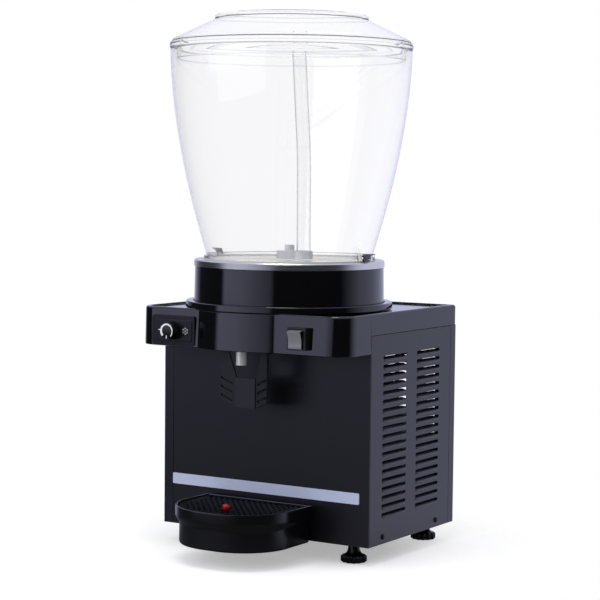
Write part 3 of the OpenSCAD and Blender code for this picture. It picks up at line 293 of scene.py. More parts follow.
def grain(tree, shader, where, size_mm, low, high, rough, bump, stretch=(1, 1, 1), detail=3):
    """Noise with a grain of size_mm: mottles the colour from low to high, moves the roughness between the
    two values of rough, and raises the surface by bump millimetres."""
    stretched = add(tree, "ShaderNodeMapping", {"Vector": where, "Scale": stretch})
    noise = add(tree, "ShaderNodeTexNoise", {"Vector": stretched.outputs[0], "Scale": 1 / (size_mm * MM),
                                             "Detail": detail})
    height = noise.outputs["Fac"]
    mottle = add(tree, "ShaderNodeValToRGB", {"Fac": height})
    for stop, at, code in zip(mottle.color_ramp.elements, (0.3, 0.7), (low, high)):
        stop.position, stop.color = at, paint(code)
    tree.links.new(mottle.outputs["Color"], shader.inputs["Base Color"])
    spread = add(tree, "ShaderNodeMapRange", {"Value": height, "To Min": rough[0], "To Max": rough[1]})
    tree.links.new(spread.outputs[0], shader.inputs["Roughness"])
    relief = add(tree, "ShaderNodeBump", {"Height": height, "Distance": bump * MM, "Strength": 0.6})
    tree.links.new(relief.outputs[0], shader.inputs["Normal"])


def finish(name, size_mm, low, high, rough, bump, stretch=(1, 1, 1), detail=3, **sockets):
    """A finish that is one grain over a Principled shader with a few fixed sockets."""
    material, tree, shader, where = started(name, **sockets)
    grain(tree, shader, where, size_mm, low, high, rough, bump, stretch, detail)
    return material


# %% [markdown]
# ## Finishes: the cabinet's powder coat
#
# The panels are folded steel sheet with a baked powder coat. Powder flows out as it melts but never quite
# level, so the film has a fine orange peel about a millimetre wide, which blurs what it reflects.

# %% Powder coat
powder_coat = finish("powder_coated_steel", 1.1, "#0b0a0e", "#100f14", (0.29, 0.37), 0.010, detail=4,
                     IOR=1.5)
print("powder coat ready")

# %% [markdown]
# ## Finishes: moulded plastics
#
# Deck and drum are injection moulded ABS from a polished tool, so they mirror the studio almost cleanly.
# Tray, lever and grille come from an eroded tool, which leaves a satin skin with a grain under a millimetre.
# Such a grain is really finer than drawn here; it is drawn coarser, so that it shows from close by.

# %% Black and grey mouldings
# Polished tool: a clean mirror with a long, hardly visible wave
gloss_abs = finish("gloss_black_abs", 14, "#060608", "#08080a", (0.06, 0.10), 0.006, detail=2, IOR=1.53)
# Fine satin: broad soft highlights on the tray and the knob
satin_abs = finish("satin_black_abs", 0.7, "#050506", "#09090b", (0.20, 0.28), 0.008, detail=4, IOR=1.53)
# Eroded tool: a dry, slightly greyer black on the lever and the switch bezel
eroded_abs = finish("eroded_black_abs", 0.8, "#131316", "#1b1b1f", (0.36, 0.46), 0.02, detail=4, IOR=1.53)
# Satin again, but of a lighter mix that mirrors less: the control plate
grey_abs = finish("satin_grey_abs", 0.7, "#0d0d10", "#121216", (0.24, 0.32), 0.010, detail=4, IOR=1.42)
# Smoke grey: the small clips stand out dark, but not black, against the clear bowl
smoke_abs = finish("smoke_grey_abs", 0.7, "#303138", "#3b3c43", (0.28, 0.38), 0.012, detail=4, IOR=1.53)
# Coarse grain that swallows reflections: the grille lies darker than its rim
grained_abs = finish("grained_black_abs", 0.8, "#060607", "#0b0b0d", (0.42, 0.52), 0.01, detail=4, IOR=1.53,
                     Specular_IOR_Level=0.015)
# Nylon: deep black with small tight highlights on the lobes of the feet
black_nylon = finish("moulded_black_nylon", 0.9, "#030304", "#060607", (0.18, 0.26), 0.010, detail=4,
                     IOR=1.53, Specular_IOR_Level=0.28)
# Pigmented nylon: the mid grey of a rocker, soft to the light
rocker_nylon = finish("mid_grey_nylon", 0.6, "#6d6d75", "#7c7c84", (0.32, 0.44), 0.015, detail=4, IOR=1.53)
# Polypropylene: pale and faintly translucent for the pump cover, saturated red for the float
pale_pp = finish("pale_grey_polypropylene", 1.5, "#c3c4cc", "#d2d3da", (0.26, 0.36), 0.01, IOR=1.49,
                 Subsurface_Weight=0.1)
red_pp = finish("red_polypropylene", 1.0, "#94080a", "#ad0f11", (0.22, 0.32), 0.01, IOR=1.49)
print("mouldings ready")

# %% [markdown]
# ## Finishes: metals
#
# The cold plate and the spout are stainless steel. The plate was spun, so its brushing runs round the axis:
# the streaks are noise that reads only the distance from the axis and the height. Real brushing is finer than
# the half millimetre used here, which is as coarse as it needs to be to show from close by. Copper, zinc and
# black enamel dress the cold set behind the louvres.

# %% Stainless steel with turned streaks, and the other metals
DRUM_AT = (0, 9.5)


def spun_steel(name, axis):
    """Stainless steel brushed round an upright axis: noise over (radius, height), streaks 0.5 mm wide."""
    material, tree, shader, where = started(name, Metallic=1.0)
    moved = add(tree, "ShaderNodeMapping", {"Vector": where, "Location": (-axis[0] * MM, -axis[1] * MM, 0)})
    part = add(tree, "ShaderNodeSeparateXYZ", {"Vector": moved.outputs[0]})
    flat = add(tree, "ShaderNodeCombineXYZ", {"X": part.outputs["X"], "Y": part.outputs["Y"]})
    radius = add(tree, "ShaderNodeVectorMath", {0: flat.outputs[0]}, operation="LENGTH")
    along = add(tree, "ShaderNodeCombineXYZ", {"X": radius.outputs["Value"], "Y": part.outputs["Z"]})
    grain(tree, shader, along.outputs[0], 0.5, "#c9c7bf", "#dbd9d1", (0.20, 0.34), 0.004, detail=2)
    return material


# Spun: fine rings, so the highlight fans out from the axis
plate_steel = spun_steel("spun_stainless_steel", DRUM_AT)
# Drawn through a die: streaks run along the wire or tube, and the mirror is sharp
drawn_steel = finish("drawn_stainless_steel", 0.6, "#cfcfd2", "#e0e0e2", (0.14, 0.24), 0.003, (1, 1, 0.05),
                     Metallic=1.0)
# Tumbled after drawing: a paler, satin steel for the spout
satin_steel = finish("satin_stainless_steel", 0.6, "#e6e5e0", "#f2f1ec", (0.34, 0.44), 0.003, (1, 1, 0.05),
                     Metallic=0.6)
# Metallised film: a cool even silver, brushed along the strip
silver_film = finish("silver_polyester_film", 0.5, "#c2cce8", "#ced7ef", (0.34, 0.46), 0.003, (0.04, 1, 1),
                     Metallic=0.25, IOR=1.5)
# Annealed copper: warm, blotched by the flame
copper = finish("annealed_copper_tube", 4, "#a8633c", "#c98257", (0.28, 0.42), 0.01, Metallic=1.0)
# Zinc plating: dull grey with a broad spangle
zinc = finish("zinc_plated_steel", 6, "#8b8d92", "#a9abb0", (0.32, 0.48), 0.01, Metallic=1.0)
# Stoved enamel: a thick black coat with a wet look
enamel = finish("black_stoved_enamel", 2, "#0a0a0c", "#101013", (0.18, 0.30), 0.01, IOR=1.5)
# Blackened steel: the screws stay matt dots
black_oxide = finish("blackened_steel", 1.0, "#050506", "#09090a", (0.45, 0.6), 0.01, IOR=1.5,
                     Specular_IOR_Level=0.2)
# Sintered ferrite: charcoal grey and dry
ferrite = finish("sintered_ferrite", 0.8, "#1d1d20", "#2b2b30", (0.5, 0.7), 0.02, IOR=1.8)
print("metals ready")

# %% [markdown]
# ## Finishes: clear plastics
#
# Bowl and lid are moulded polycarbonate, almost colourless across the wall but faintly lavender along it, so
# their edges draw themselves. That is absorption inside the plastic. The lid is thin and hardly bends light.
# The spray tube is a little cloudy and has a grey limb where its wall is seen at a slant. The edges of the
# lid carry painted shade: beads that are dark only where the camera meets them first, and near white to every
# other ray.

# %% Clear plastics
CLEAR = "#ffffff"
SCRATCH_MM = 9
LIMB_START, LIMB_FULL = 0.45, 0.85


def scratched(tree, shader, where, most):
    """Wiping scratches: noise that moves the roughness from 0 to most."""
    noise = add(tree, "ShaderNodeTexNoise", {"Vector": where, "Scale": 1 / (SCRATCH_MM * MM), "Detail": 3})
    spread = add(tree, "ShaderNodeMapRange", {"Value": noise.outputs["Fac"], "To Max": most})
    tree.links.new(spread.outputs[0], shader.inputs["Roughness"])


def clear_plastic(name, tint, density, scratches, bending, limb=CLEAR):
    """Clear plastic: full transmission, absorption of tint per metre, scratches, and a limb colour that the
    surface takes on where it is seen at a slant."""
    material, tree, shader, where = started(name, Transmission_Weight=1.0, IOR=bending)
    slant = add(tree, "ShaderNodeLayerWeight", {"Blend": 0.5}).outputs["Facing"]
    edge = add(tree, "ShaderNodeMapRange", {"Value": slant, "From Min": LIMB_START, "From Max": LIMB_FULL})
    colour = add(tree, "ShaderNodeMix", {0: edge.outputs[0], 6: paint(CLEAR), 7: paint(limb)},
                 data_type="RGBA")
    tree.links.new(colour.outputs[2], shader.inputs["Base Color"])
    scratched(tree, shader, where, scratches)
    inside = add(tree, "ShaderNodeVolumeAbsorption", {"Color": paint(tint), "Density": density})
    tree.links.new(inside.outputs[0], tree.nodes["Material Output"].inputs["Volume"])
    return material


polycarbonate = clear_plastic("clear_polycarbonate", "#b9b9dc", 13, 0.03, 1.4)
thin_polycarbonate = clear_plastic("thin_clear_polycarbonate", "#b9b9dc", 2.5, 0.03, 1.14)
acrylic_tube = clear_plastic("cloudy_acrylic_tube", "#8a8aa6", 60, 0.04, 1.2, "#5c5c72")

# Painted shade: the lid's edge beads are dark to the camera only, drawn lines that stand in for the shade
# along the lid's edges
painted_edge_shade_polycarbonate, tree, shader, where = started("polycarbonate_painted_edge_shade", Transmission_Weight=1.0,
                                                  IOR=1.14)
scratched(tree, shader, where, 0.03)
met_first = add(tree, "ShaderNodeLightPath").outputs["Is Camera Ray"]
edge = add(tree, "ShaderNodeMix", {0: met_first, 6: paint("#eeeef5"), 7: paint("#4a4a62")}, data_type="RGBA")
tree.links.new(edge.outputs[2], shader.inputs["Base Color"])
print("clear plastics ready")

# %% [markdown]
# ## Finishes: rubber, print and foam
#
# The soft and the printed things are small, but they are what makes the rest look hard: matt rubber at the
# joints, chalky print on the controls and open foam in the drum.

# %% Rubber, print and foam
# Silicone: milky and matt
silicone = finish("white_silicone_rubber", 1.2, "#c9c9ce", "#d8d8dc", (0.42, 0.58), 0.01, IOR=1.42)
# Black rubber: no highlight to speak of
black_rubber = finish("black_rubber", 1.2, "#0d0d0e", "#161617", (0.55, 0.75), 0.03, IOR=1.5)
# Pad print: an even, chalky white
white_print = finish("white_pad_print", 0.5, "#e6e6ea", "#f4f4f7", (0.4, 0.55), 0.004, IOR=1.5)
# Foam: straw coloured with open cells
foam = finish("polyurethane_foam", 2.0, "#cdbf93", "#e3d7ae", (0.7, 0.9), 0.2, IOR=1.45)
print("rubber, print and foam ready")

# %% [markdown]
# ## The nodes that keep their CAD shape
#
# Panels, pipes and the pieces inside are already right, so they only get their finish. Every node gets one,
# also those that a piece below stands for.

# %% Finishes for the CAD nodes
cad_finishes = {
    powder_coat: ["base_pan", "front_panel", "left_panel", "right_panel", "rear_panel"],
    enamel: ["compressor", "condenser"],
    black_oxide: ["panel_screws"],
    silver_film: ["front_strip"],
    gloss_abs: ["top_deck", "drum_shell"],
    grey_abs: ["control_plate", "valve_plunger"],
    smoke_abs: ["bowl_clip_left", "bowl_clip_right"],
    rocker_nylon: ["switch_rocker"],
    satin_abs: ["switch_housing", "terminal_box", "mains_gland", "tap_bracket", "valve_body", "tap_lever",
                "thermostat_knob", "drip_tray", "drip_grille", "foot_front_left", "foot_front_right",
                "foot_rear_left", "foot_rear_right"],
    white_print: ["plate_marks", "knob_marks"],
    zinc: ["thermostat_body", "pump_motor", "fan_shroud", "fan_motor", "fan_blades"],
    foam: ["drum_foam"],
    plate_steel: ["cold_plate"],
    drawn_steel: ["lever_pin", "tap_spout", "drain_pipe", "valve_spring", "clip_pins"],
    copper: ["evaporator_coil", "filter_drier", "discharge_pipe", "suction_pipe"],
    silicone: ["bowl_gasket", "valve_seal"],
    black_rubber: ["compressor_grommets"],
    ferrite: ["drive_magnet"],
    pale_pp: ["impeller", "pump_cover"],
    acrylic_tube: ["spray_tube"],
    polycarbonate: ["bowl"],
    thin_polycarbonate: ["lid"],
    red_pp: ["tray_float"],
}
for material, names in cad_finishes.items():
    for name in names:
        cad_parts[name].data.materials.clear()
        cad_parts[name].data.materials.append(material)
print("finished", sum(map(len, cad_finishes.values())), "CAD nodes")

# %% [markdown]
# ## The deck
#
# One moulding carries everything above the cabinet: two pods with the controls, a round belly between them,
# a floor a little below its rim, and a skirt that drops over the panels. It is one profile carried along one
# outline. The outline is worked out anew for each inset, so corners and belly stay true arcs, and the last
# rings close on a circle under the drum.

# %% Deck outline and profile
SIDE, FRONT, REAR = 165.0, -50.5, 186.5
AXIS = DRUM_AT[1]
POD_Y, RIGHT_POD_OUT = FRONT - 67, 1.6
SEAM_Z, BELLY_Z, DECK_Z, FLOOR_Z, CEILING_Z = 304.0, 280.0, 332.0, 329.6, 322.0
BELLY_R, POD_R, BACK_R, LEDGE_R = 142.0, 31, 2.5, 112
DRAFT, SIDE_SHARE = 2.0, 0.2
RIM_R, RIM_END, LIP_R, COVE_R = 3.4, 7.4, 1.4, 0.8
SKIRT_IN, FLOOR_IN = 3, 9.3
SIDE_POINTS, POD_POINTS, BACK_POINTS, CORNER_POINTS = 10, 16, 10, 7


def deck_outline(inset):
    """The deck's plan, moved in by inset: sides, corner arcs, pod fronts and the belly's arc about the drum's
    axis, which meets the pods' front line where r squared = x squared + (y - axis) squared. The front leans
    back with the tool's draft; sides and back take only a share of it."""
    upright_inset = max(inset - DRAFT * (1 - SIDE_SHARE), SIDE_SHARE * inset)
    x, y1 = SIDE - upright_inset, REAR - upright_inset
    rf, rr, belly = POD_R - inset, max(BACK_R - inset, 0.8), BELLY_R - inset
    sides, turns = [], []
    for y0 in (POD_Y + inset, POD_Y - RIGHT_POD_OUT + inset):
        meet = math.sqrt(belly ** 2 - (y0 - AXIS) ** 2)
        turns.append(math.degrees(math.atan2(y0 - AXIS, meet)))
        sides.append(np.concatenate([
            line(-x, y1 - rr, -x, FRONT, SIDE_POINTS), line(-x, FRONT, -x, y0 + rf, 5),
            arc(-x + rf, y0 + rf, rf, 180, 270, POD_POINTS)[1:], line(-x + rf, y0, -meet, y0, 7)[1:],
        ]))
    middle = arc(0, AXIS, belly, -180 - turns[0], turns[1], 60)
    back = np.concatenate([
        arc(x - rr, y1 - rr, rr, 0, 90, CORNER_POINTS)[1:], line(x - rr, y1, -x + rr, y1, BACK_POINTS)[1:-1],
        arc(-x + rr, y1 - rr, rr, 90, 180, CORNER_POINTS)[:-1],
    ])
    return np.concatenate([sides[0], middle, sides[1][::-1] * [-1, 1], back])


def skirt_ring(inset, height):
    """A ring at the deck's lower edge: it follows the pods' underside in front and the seam behind."""
    plan = deck_outline(inset)
    behind = SIDE_POINTS + 2 * (CORNER_POINTS - 1) + BACK_POINTS - 2
    z = np.full(len(plan), SEAM_Z + height)
    z[SIDE_POINTS:len(plan) - behind] = BELLY_Z + height
    return np.column_stack([plan, z])


def ledge_ring(height):
    """A circle about the drum's axis, with its points in the directions of the outline's points."""
    x, y = deck_outline(FLOOR_IN).T
    a = np.arctan2(y - AXIS, x)
    return raised(np.column_stack([LEDGE_R * np.cos(a), AXIS + LEDGE_R * np.sin(a)]), height)


skirt = [(SKIRT_IN, 0), (0.7, 0), (0.2, 0.2), (0, 0.8)]
rim = np.concatenate([
    arc(DRAFT + RIM_R, DECK_Z - RIM_R, RIM_R, 180, 90, 8), arc(RIM_END, DECK_Z - LIP_R, LIP_R, 90, 0, 5),
    arc(RIM_END + LIP_R + COVE_R, FLOOR_Z + COVE_R, COVE_R, 180, 270, 4),
])
rings = [skirt_ring(*edge) for edge in skirt] + [raised(deck_outline(inset), z) for inset, z in rim]
rings += [ledge_ring(FLOOR_Z), ledge_ring(CEILING_Z), raised(deck_outline(SKIRT_IN), CEILING_Z)]
piece("deck_moulding", np.stack(rings), LOOPED, gloss_abs, "cabinet", ["top_deck"], sharp=40)

# %% Collar round the drum
collar_profile = np.concatenate([
    [[131.2, 326], [131.2, 339.0]], arc(132.2, 339.0, 1.0, 180, 90, 5), arc(139.4, 338.4, 1.6, 90, 4, 6),
    arc(140.9, 332.0, 0.6, 0, -90, 4), [[139.8, 330.8], [136, 326]],
])
piece("drum_collar", turned(collar_profile, DRUM_AT), LOOPED, gloss_abs, "cabinet", sharp=50)

# %% [markdown]
# ## The drum and its cold plate
#
# The drum is one moulding with a slight draft, so that it leaves its tool. A spun steel plate closes it: its
# edge is drawn down over the drum as a bright band with a soft shoulder. Both are turned shapes; the plate
# keeps its CAD copy because of its drain hole and pump well, with the edges rounded.

# %% Drum and plate
drum_profile = np.concatenate([
    [[LEDGE_R, 325], [130, 325], [128.9, 386]], arc(128.0, 386.1, 0.9, 0, 90, 4),
    [[126.5, 387], [126.5, 328.5], [LEDGE_R, 328.5]],
])
piece("drum_moulding", turned(drum_profile, DRUM_AT), LOOPED, gloss_abs, "cabinet",
      ["drum_shell"], sharp=50)
softened("spun_plate", "cold_plate", 2.2, plate_steel, "cabinet")

# %% [markdown]
# ## Bowl and lid
#
# The bowl flares from a flanged foot to a wide rim: its radius follows a power curve of the height, steep at
# the foot and nearly upright at the top. The lid has a stepped edge, a cone and a shallow dome, and a skirt
# that hangs inside the bowl. Both are turned from a closed profile with true wall thickness, because the
# plastic's edges are what the eye finds first. Fine beads follow the edges of the lid and carry painted
# shade: dark edge lines that only the camera sees.

# %% Bowl
FOOT_Z, RIM_Z = 397.9, 679.9
FOOT_R, FLARE, FLARE_POWER, WALL_T = 112, 52, 1.72, 3
LUG_IN, LUG_OUT, LUG_Y, LUG_HALF, LUG_TOP = 112.4, 124.5, 9.4, 2, 405.2
t = np.linspace(0.016, 0.994, 56)
wall = np.column_stack([FOOT_R + FLARE * (1 - (1 - t) ** FLARE_POWER), FOOT_Z + (RIM_Z - FOOT_Z) * t])
bowl_profile = np.concatenate([
    [[109.4, FOOT_Z]], arc(116.2, FOOT_Z + 0.8, 0.8, -90, 0, 4), arc(116.2, FOOT_Z + 2.2, 0.8, 0, 90, 4),
    [[114.6, FOOT_Z + 3.1], [113.6, FOOT_Z + 3.7]], wall,
    arc(wall[-1, 0] - 1.4, RIM_Z - 1.4, 1.4, 20, 160, 7), (wall - [WALL_T, 0])[::-1],
])
piece("bowl_moulding", turned(bowl_profile, DRUM_AT), LOOPED, polycarbonate, "bowl",
      ["bowl"], sharp=60)

lugs = []
for x0, x1 in ((-LUG_OUT, -LUG_IN), (LUG_IN, LUG_OUT)):
    for y in (AXIS - LUG_Y, AXIS + LUG_Y):
        lug_plan = rectangle(x0, x1, y - LUG_HALF, y + LUG_HALF, 0.8, 4)
        lugs.append(prism(lug_plan, FOOT_Z + 0.1, LUG_TOP, 0.4, 1.2, 4))
piece("clip_lugs", lugs, CAPPED, thin_polycarbonate, "bowl")

# %% Lid
DOME_R, DOME_Z, DOME_RISE, DOME_T = 100.6, 726.3, 4.4, 1.0
SKIRT_R, SKIRT_Z, SKIRT_T = 153.0, 667.2, 2.4
dome = np.linspace(1, 0, 12)
bulge = DOME_RISE * (1 - dome ** 2)
lid_profile = np.concatenate([
    [[155.5, 680.3], [162.9, 680.3]], arc(163.0, 682.3, 2.0, -90, 0, 5), arc(163.2, 686.9, 1.8, 0, 80, 6),
    [[162.6, 688.5], [162.0, 689.2]], arc(159.0, 690.6, 2.9, 0, 62, 6),
    [[104.6, 719.9], [104.0, 720.6]], arc(101.4, 723.6, 2.6, 0, 84, 7),
    np.column_stack([DOME_R * dome, DOME_Z + bulge]),
    np.column_stack([(DOME_R - 0.8) * dome, DOME_Z - DOME_T + bulge])[::-1],
    [[100.8, 724.6], [101.2, 720.6], [102.6, 718.0], [152.4, 693.7], [SKIRT_R, 692.8], [SKIRT_R, SKIRT_Z]],
    arc(SKIRT_R + SKIRT_T / 2, SKIRT_Z - 0.1, SKIRT_T / 2, 180, 360, 6),
])
piece("lid_moulding", turned(lid_profile, DRUM_AT), LOOPED, thin_polycarbonate, "lid",
      ["lid"], sharp=40)

# Radius of each bead's circle, its height and its thickness
lid_edge_shade_beads = {
    "lid_rim_bead": (162.2, 689.4, 0.8),
    "lid_flange_bead": (164.5, 684.7, 0.45),
    "lid_foot_bead": (163.6, 680.6, 0.45),
    "lid_disc_bead": (104.2, 720.4, 0.65),
    "lid_skirt_bead": (154.2, 666.9, 0.7),
}
# Each bead carries painted shade: a dark line along one edge of the lid, seen by the camera only
for name, (radius, height, thick) in lid_edge_shade_beads.items():
    bead = turned(arc(radius, height, thick, 0, 330, 12), DRUM_AT)
    piece(name, bead, LOOPED, painted_edge_shade_polycarbonate, "lid", sharp=60)

# %% [markdown]
# ## Spray tube, pump cover and clips
#
# The pump throws the drink up a slanting tube against the lid. The tube is a plain drawn tube with a slight
# bend at half height, so it is a ring of points carried up a path: upright below the bend, a parabola through
# it and a straight slant above. Cover and clips are small mouldings with soft edges.

# %% Tube, cover, clips
TUBE_X, TUBE_Z, TUBE_RUN = 22.6, 400.0, 279.0
TUBE_R, TUBE_BORE, BEND_LOW, BEND_HIGH = 9.5, 8.75, 110, 160
LEAN_LOW, LEAN_MORE = 0.006, 0.0605
rise = np.concatenate([[0.0, 0.6], np.linspace(BEND_LOW, BEND_HIGH, 9), [TUBE_RUN - 1, TUBE_RUN]])
through_bend = np.maximum(rise - BEND_LOW, 0) ** 2 / (2 * (BEND_HIGH - BEND_LOW))
past_bend = rise - (BEND_LOW + BEND_HIGH) / 2
lean = LEAN_LOW * rise + LEAN_MORE * np.where(rise < BEND_HIGH, through_bend, past_bend)
way_up = np.column_stack([TUBE_X - lean, np.full(len(rise), AXIS), TUBE_Z + rise])
outer_r, inner_r = np.full(len(rise), TUBE_R), np.full(len(rise), TUBE_BORE)
outer_r[[0, -1]], inner_r[[0, -1]] = (9.2, 9.0), 8.8
a = np.radians(np.arange(0, 360, 6))
flat_ring = np.stack([np.cos(a), np.sin(a), 0 * a], -1)
outside, inside = (way_up[:, None] + r[:, None, None] * flat_ring for r in (outer_r, inner_r))
piece("spray_tube_wall", np.concatenate([outside, inside[::-1]]), LOOPED, acrylic_tube, "spray_tube",
      ["spray_tube"])
softened("pump_cover_moulding", "pump_cover", 0.9, pale_pp, "pump_cover")
softened("left_cam_clip", "bowl_clip_left", 0.5, smoke_abs, "clip_left")
softened("right_cam_clip", "bowl_clip_right", 0.5, smoke_abs, "clip_right")

# %% [markdown]
# ## Controls
#
# The control plate is a shallow two-level moulding with rounded corners, and a frost mark of seven dots and a
# tick are printed on it. The knob turns on it, with a soft front edge and a fine grip round its side: its
# radius carries a small wave. The rocker sits in a bezel, and its cheeks are painted black as painted shade.

# %% Control plate and its print
KNOB_X, KNOB_Y, AXLE_Z = -102.5, -119.9, 301.5
BASE_T, FIELD_T = 1.0, 2.0
BASE_SPAN, FIELD_SPAN = (-137.5, -67.5, 281.2, 321.8), (-133.5, -71.5, 287, 316)
FROST_X, TICK_X, FROST_R, DOT_R, PRINT_T = -82.0, -124.5, 3.8, 0.75, 0.25
plate_base = prism(rectangle(*BASE_SPAN, 4), 0, BASE_T, 0.0, 0.7)
plate_field = prism(rectangle(*FIELD_SPAN, 2.5), 0.8, FIELD_T, 0.0, 0.6)
piece("plate_base", facing_front(plate_base, POD_Y), CAPPED, grey_abs, "cabinet",
      ["control_plate"])
piece("plate_field", facing_front(plate_field, POD_Y), CAPPED, grey_abs, "cabinet")

spots = np.concatenate([[[FROST_X, AXLE_Z]], arc(FROST_X, AXLE_Z, FROST_R, 90, -210, 6)])
plans = [rectangle(x - DOT_R, x + DOT_R, z - DOT_R, z + DOT_R, DOT_R, 5) for x, z in spots]
plans.append(rectangle(TICK_X - 1.5, TICK_X + 1.5, AXLE_Z - 0.6, AXLE_Z + 0.6, 0.3, 5))
prints = [facing_front(prism(plan, -0.2, PRINT_T, 0.0, 0.1, 3), POD_Y - FIELD_T) for plan in plans]
piece("plate_print", prints, CAPPED, white_print, "cabinet", ["plate_marks"])

# %% Knob and switch
knob_levels = [[0, 0, 0], [11.4, 0, 0], [12.0, 0, 0.6], [12.0, 0, 2.2], [11.6, 0.22, 3.0], [11.3, 0.22, 11.4],
               [11.1, 0.1, 12.6], [10.6, 0, 13.5], [9.8, 0, 14.0], [0, 0, 14.0]]
knob = lobed(knob_levels, 30, 180) + [KNOB_X, AXLE_Z, 0]
piece("knob_moulding", facing_front(knob, KNOB_Y), CAPPED, satin_abs, "knob",
      ["thermostat_knob"], sharp=50)
softened("switch_bezel", "switch_housing", 1.1, eroded_abs, "cabinet")
rocker = softened("rocker_cap", "switch_rocker", 0.6, rocker_nylon, "rocker")
# Painted shade: the rocker's cheeks, the faces turned sideways, take the black moulding where the bezel's
# shadow falls
rocker.data.materials.append(satin_abs)
for face in rocker.data.polygons:
    face.material_index = int(abs(face.normal.x) > 0.75)

# %% [markdown]
# ## Tap
#
# The spout is a drawn tube with a rounded lip that bends back to the valve, so a ring is carried along its
# bent path. The push lever keeps its cut-out wings and slots from the solid, with moulded edges.

# %% Spout and lever
SPOUT_Y, SPOUT_Z, SPOUT_END = -106.5, 260.0, -84.0
BEND_R, BEND_Z = 12, 298
SPOUT_R, SPOUT_BORE = 6.4, 5.3
drop = [[SPOUT_Y, z] for z in (SPOUT_Z, SPOUT_Z + 0.3, SPOUT_Z + 0.9, SPOUT_Z + 15, BEND_Z - 0.1)]
bend = arc(SPOUT_Y + BEND_R, BEND_Z, BEND_R, 180, 90, 10)
spout_path = np.insert(np.concatenate([drop, bend, [[SPOUT_END, BEND_Z + BEND_R]]]), 0, 0, axis=1)
outer_r, inner_r = np.full(len(spout_path), SPOUT_R), np.full(len(spout_path), SPOUT_BORE)
outer_r[:4], inner_r[:3] = (6.8, 7.1, 7.2, 7.2), (6.2, 5.7, 5.3)
spout = np.concatenate([swept(spout_path, outer_r), swept(spout_path, inner_r)[::-1]])
piece("spout_tube", spout, LOOPED, satin_steel, "cabinet", ["tap_spout"])
softened("push_lever", "tap_lever", 0.7, eroded_abs, "lever")

# %% [markdown]
# ## Drip tray
#
# The tray is a deep D-shaped moulding: a narrow lower body, a smooth step out to a wider band, and a thin
# rim. One profile of (inset, height) is carried round the D, out and up on the outside and down again on the
# inside. The grille lies in it and a red float rises through it when the tray is full.

# %% Tray
TRAY_HALF, TRAY_FRONT, TRAY_BACK, TRAY_R = 84, -186.5, -60.5, 74
TRAY_MIDDLE, TRAY_WALL, BODY_IN = (0, -110.0), 3.0, 5
STEP_Z, STEP_H = 50.5, 12
TONGUE_X, TONGUE_HALF, TONGUE_BACK, TONGUE_TIP = 52, 7, -62, -40.7
TONGUE_LOW, TONGUE_HIGH = 66, 71


def tray_plan(inset, rear=0.0):
    """The tray's D: straight sides, round front corners and a flat back that is set in by rear alone."""
    x, y, r, back = TRAY_HALF - inset, TRAY_FRONT + inset, TRAY_R - inset, TRAY_BACK - rear
    half = np.concatenate([line(-x, back, -x, y + r, 7), arc(-x + r, y + r, r, 180, 270, 30)[1:],
                           line(-x + r, y, 0, y, 4)[1:]])
    front_way = np.concatenate([half, half[-2::-1] * [-1, 1]])
    return np.concatenate([front_way, line(x, back, -x, back, 12)[1:-1]])


outside = [(8.0, 24.0), (6.2, 24.6), (5.2, 26.0), (5.0, 27.5)]
outside += [(BODY_IN * (1 - s * s * (3 - 2 * s)), STEP_Z + STEP_H * s) for s in np.linspace(0, 1, 9)]
outside += [(0.0, 73.6), (0.3, 74.6), (1.0, 75.0), (2.0, 75.0), (2.7, 74.6)]
inside = [(3.0, 73.6), (3.0, 69.6), (8.0, 64.0), (8.0, 29.0), (9.0, 27.4), (10.4, 27.0)]
rings = [raised(tray_plan(inset), z) for inset, z in outside]
rings += [raised(tray_plan(inset, TRAY_WALL), z) for inset, z in inside]
piece("tray_moulding", capped(rings, TRAY_MIDDLE), CAPPED, satin_abs, "tray", ["drip_tray"],
      sharp=40)
tongues = []
for x in (-TONGUE_X, TONGUE_X):
    tongue_plan = rectangle(x - TONGUE_HALF, x + TONGUE_HALF, TONGUE_BACK, TONGUE_TIP, 1.5, 4)
    tongues.append(prism(tongue_plan, TONGUE_LOW, TONGUE_HIGH, 0.6, 0.6, 4))
piece("tray_tongues", tongues, CAPPED, satin_abs, "tray")

# %% Grille and float
FLOAT_AT = (0, -139)
softened("slotted_grille", "drip_grille", 0.3, grained_abs, "grille")
float_profile = np.concatenate([
    [[0, 27.4], [9, 27.4], [9, 36.4], [3.1, 36.4], [3.1, 70.6], [3.7, 71.0], [3.9, 71.5]],
    [[3.9, 73.2], [4.7, 73.3], [5.0, 73.8]], arc(1.6, 75.9, 3.4, 0, 84, 8), [[0, 79.4]],
])
piece("float_cap", turned(float_profile, FLOAT_AT, 48), POLED, red_pp, "float", ["tray_float"],
      sharp=50)

# %% [markdown]
# ## Levelling feet
#
# Each foot is a moulded knob with a lobed grip, so that it can be turned under the machine, and a concave
# flare up to its neck. The levels give radius, lobe height and height above the counter.

# %% Feet
FOOT_X, FOOT_FRONT, FOOT_REAR, FOOT_LOBES = 130, -28.5, 164.5, 12
foot_levels = [
    [0, 0, 0], [14.4, 1.0, 0], [15.6, 1.3, 0.5], [16.1, 1.4, 1.6], [16.1, 1.4, 7.0], [15.6, 1.3, 8.6],
    [14.4, 1.0, 9.5], [12.4, 0.5, 10.2], [10.4, 0.2, 11.8], [8.8, 0, 14.5], [7.8, 0, 18.5], [7.3, 0, 22.5],
    [7.2, 0, 24.6], [4, 0, 24.6], [4, 0, 33], [0, 0, 33],
]
foot_shape = lobed(foot_levels, FOOT_LOBES, 120)
for side, x in (("left", -FOOT_X), ("right", FOOT_X)):
    for end, y in (("front", FOOT_FRONT), ("rear", FOOT_REAR)):
        node = f"foot_{end}_{side}"
        piece(f"{node}_knob", foot_shape + [x, y, 0], CAPPED, black_nylon, node, [node],
              sharp=45)

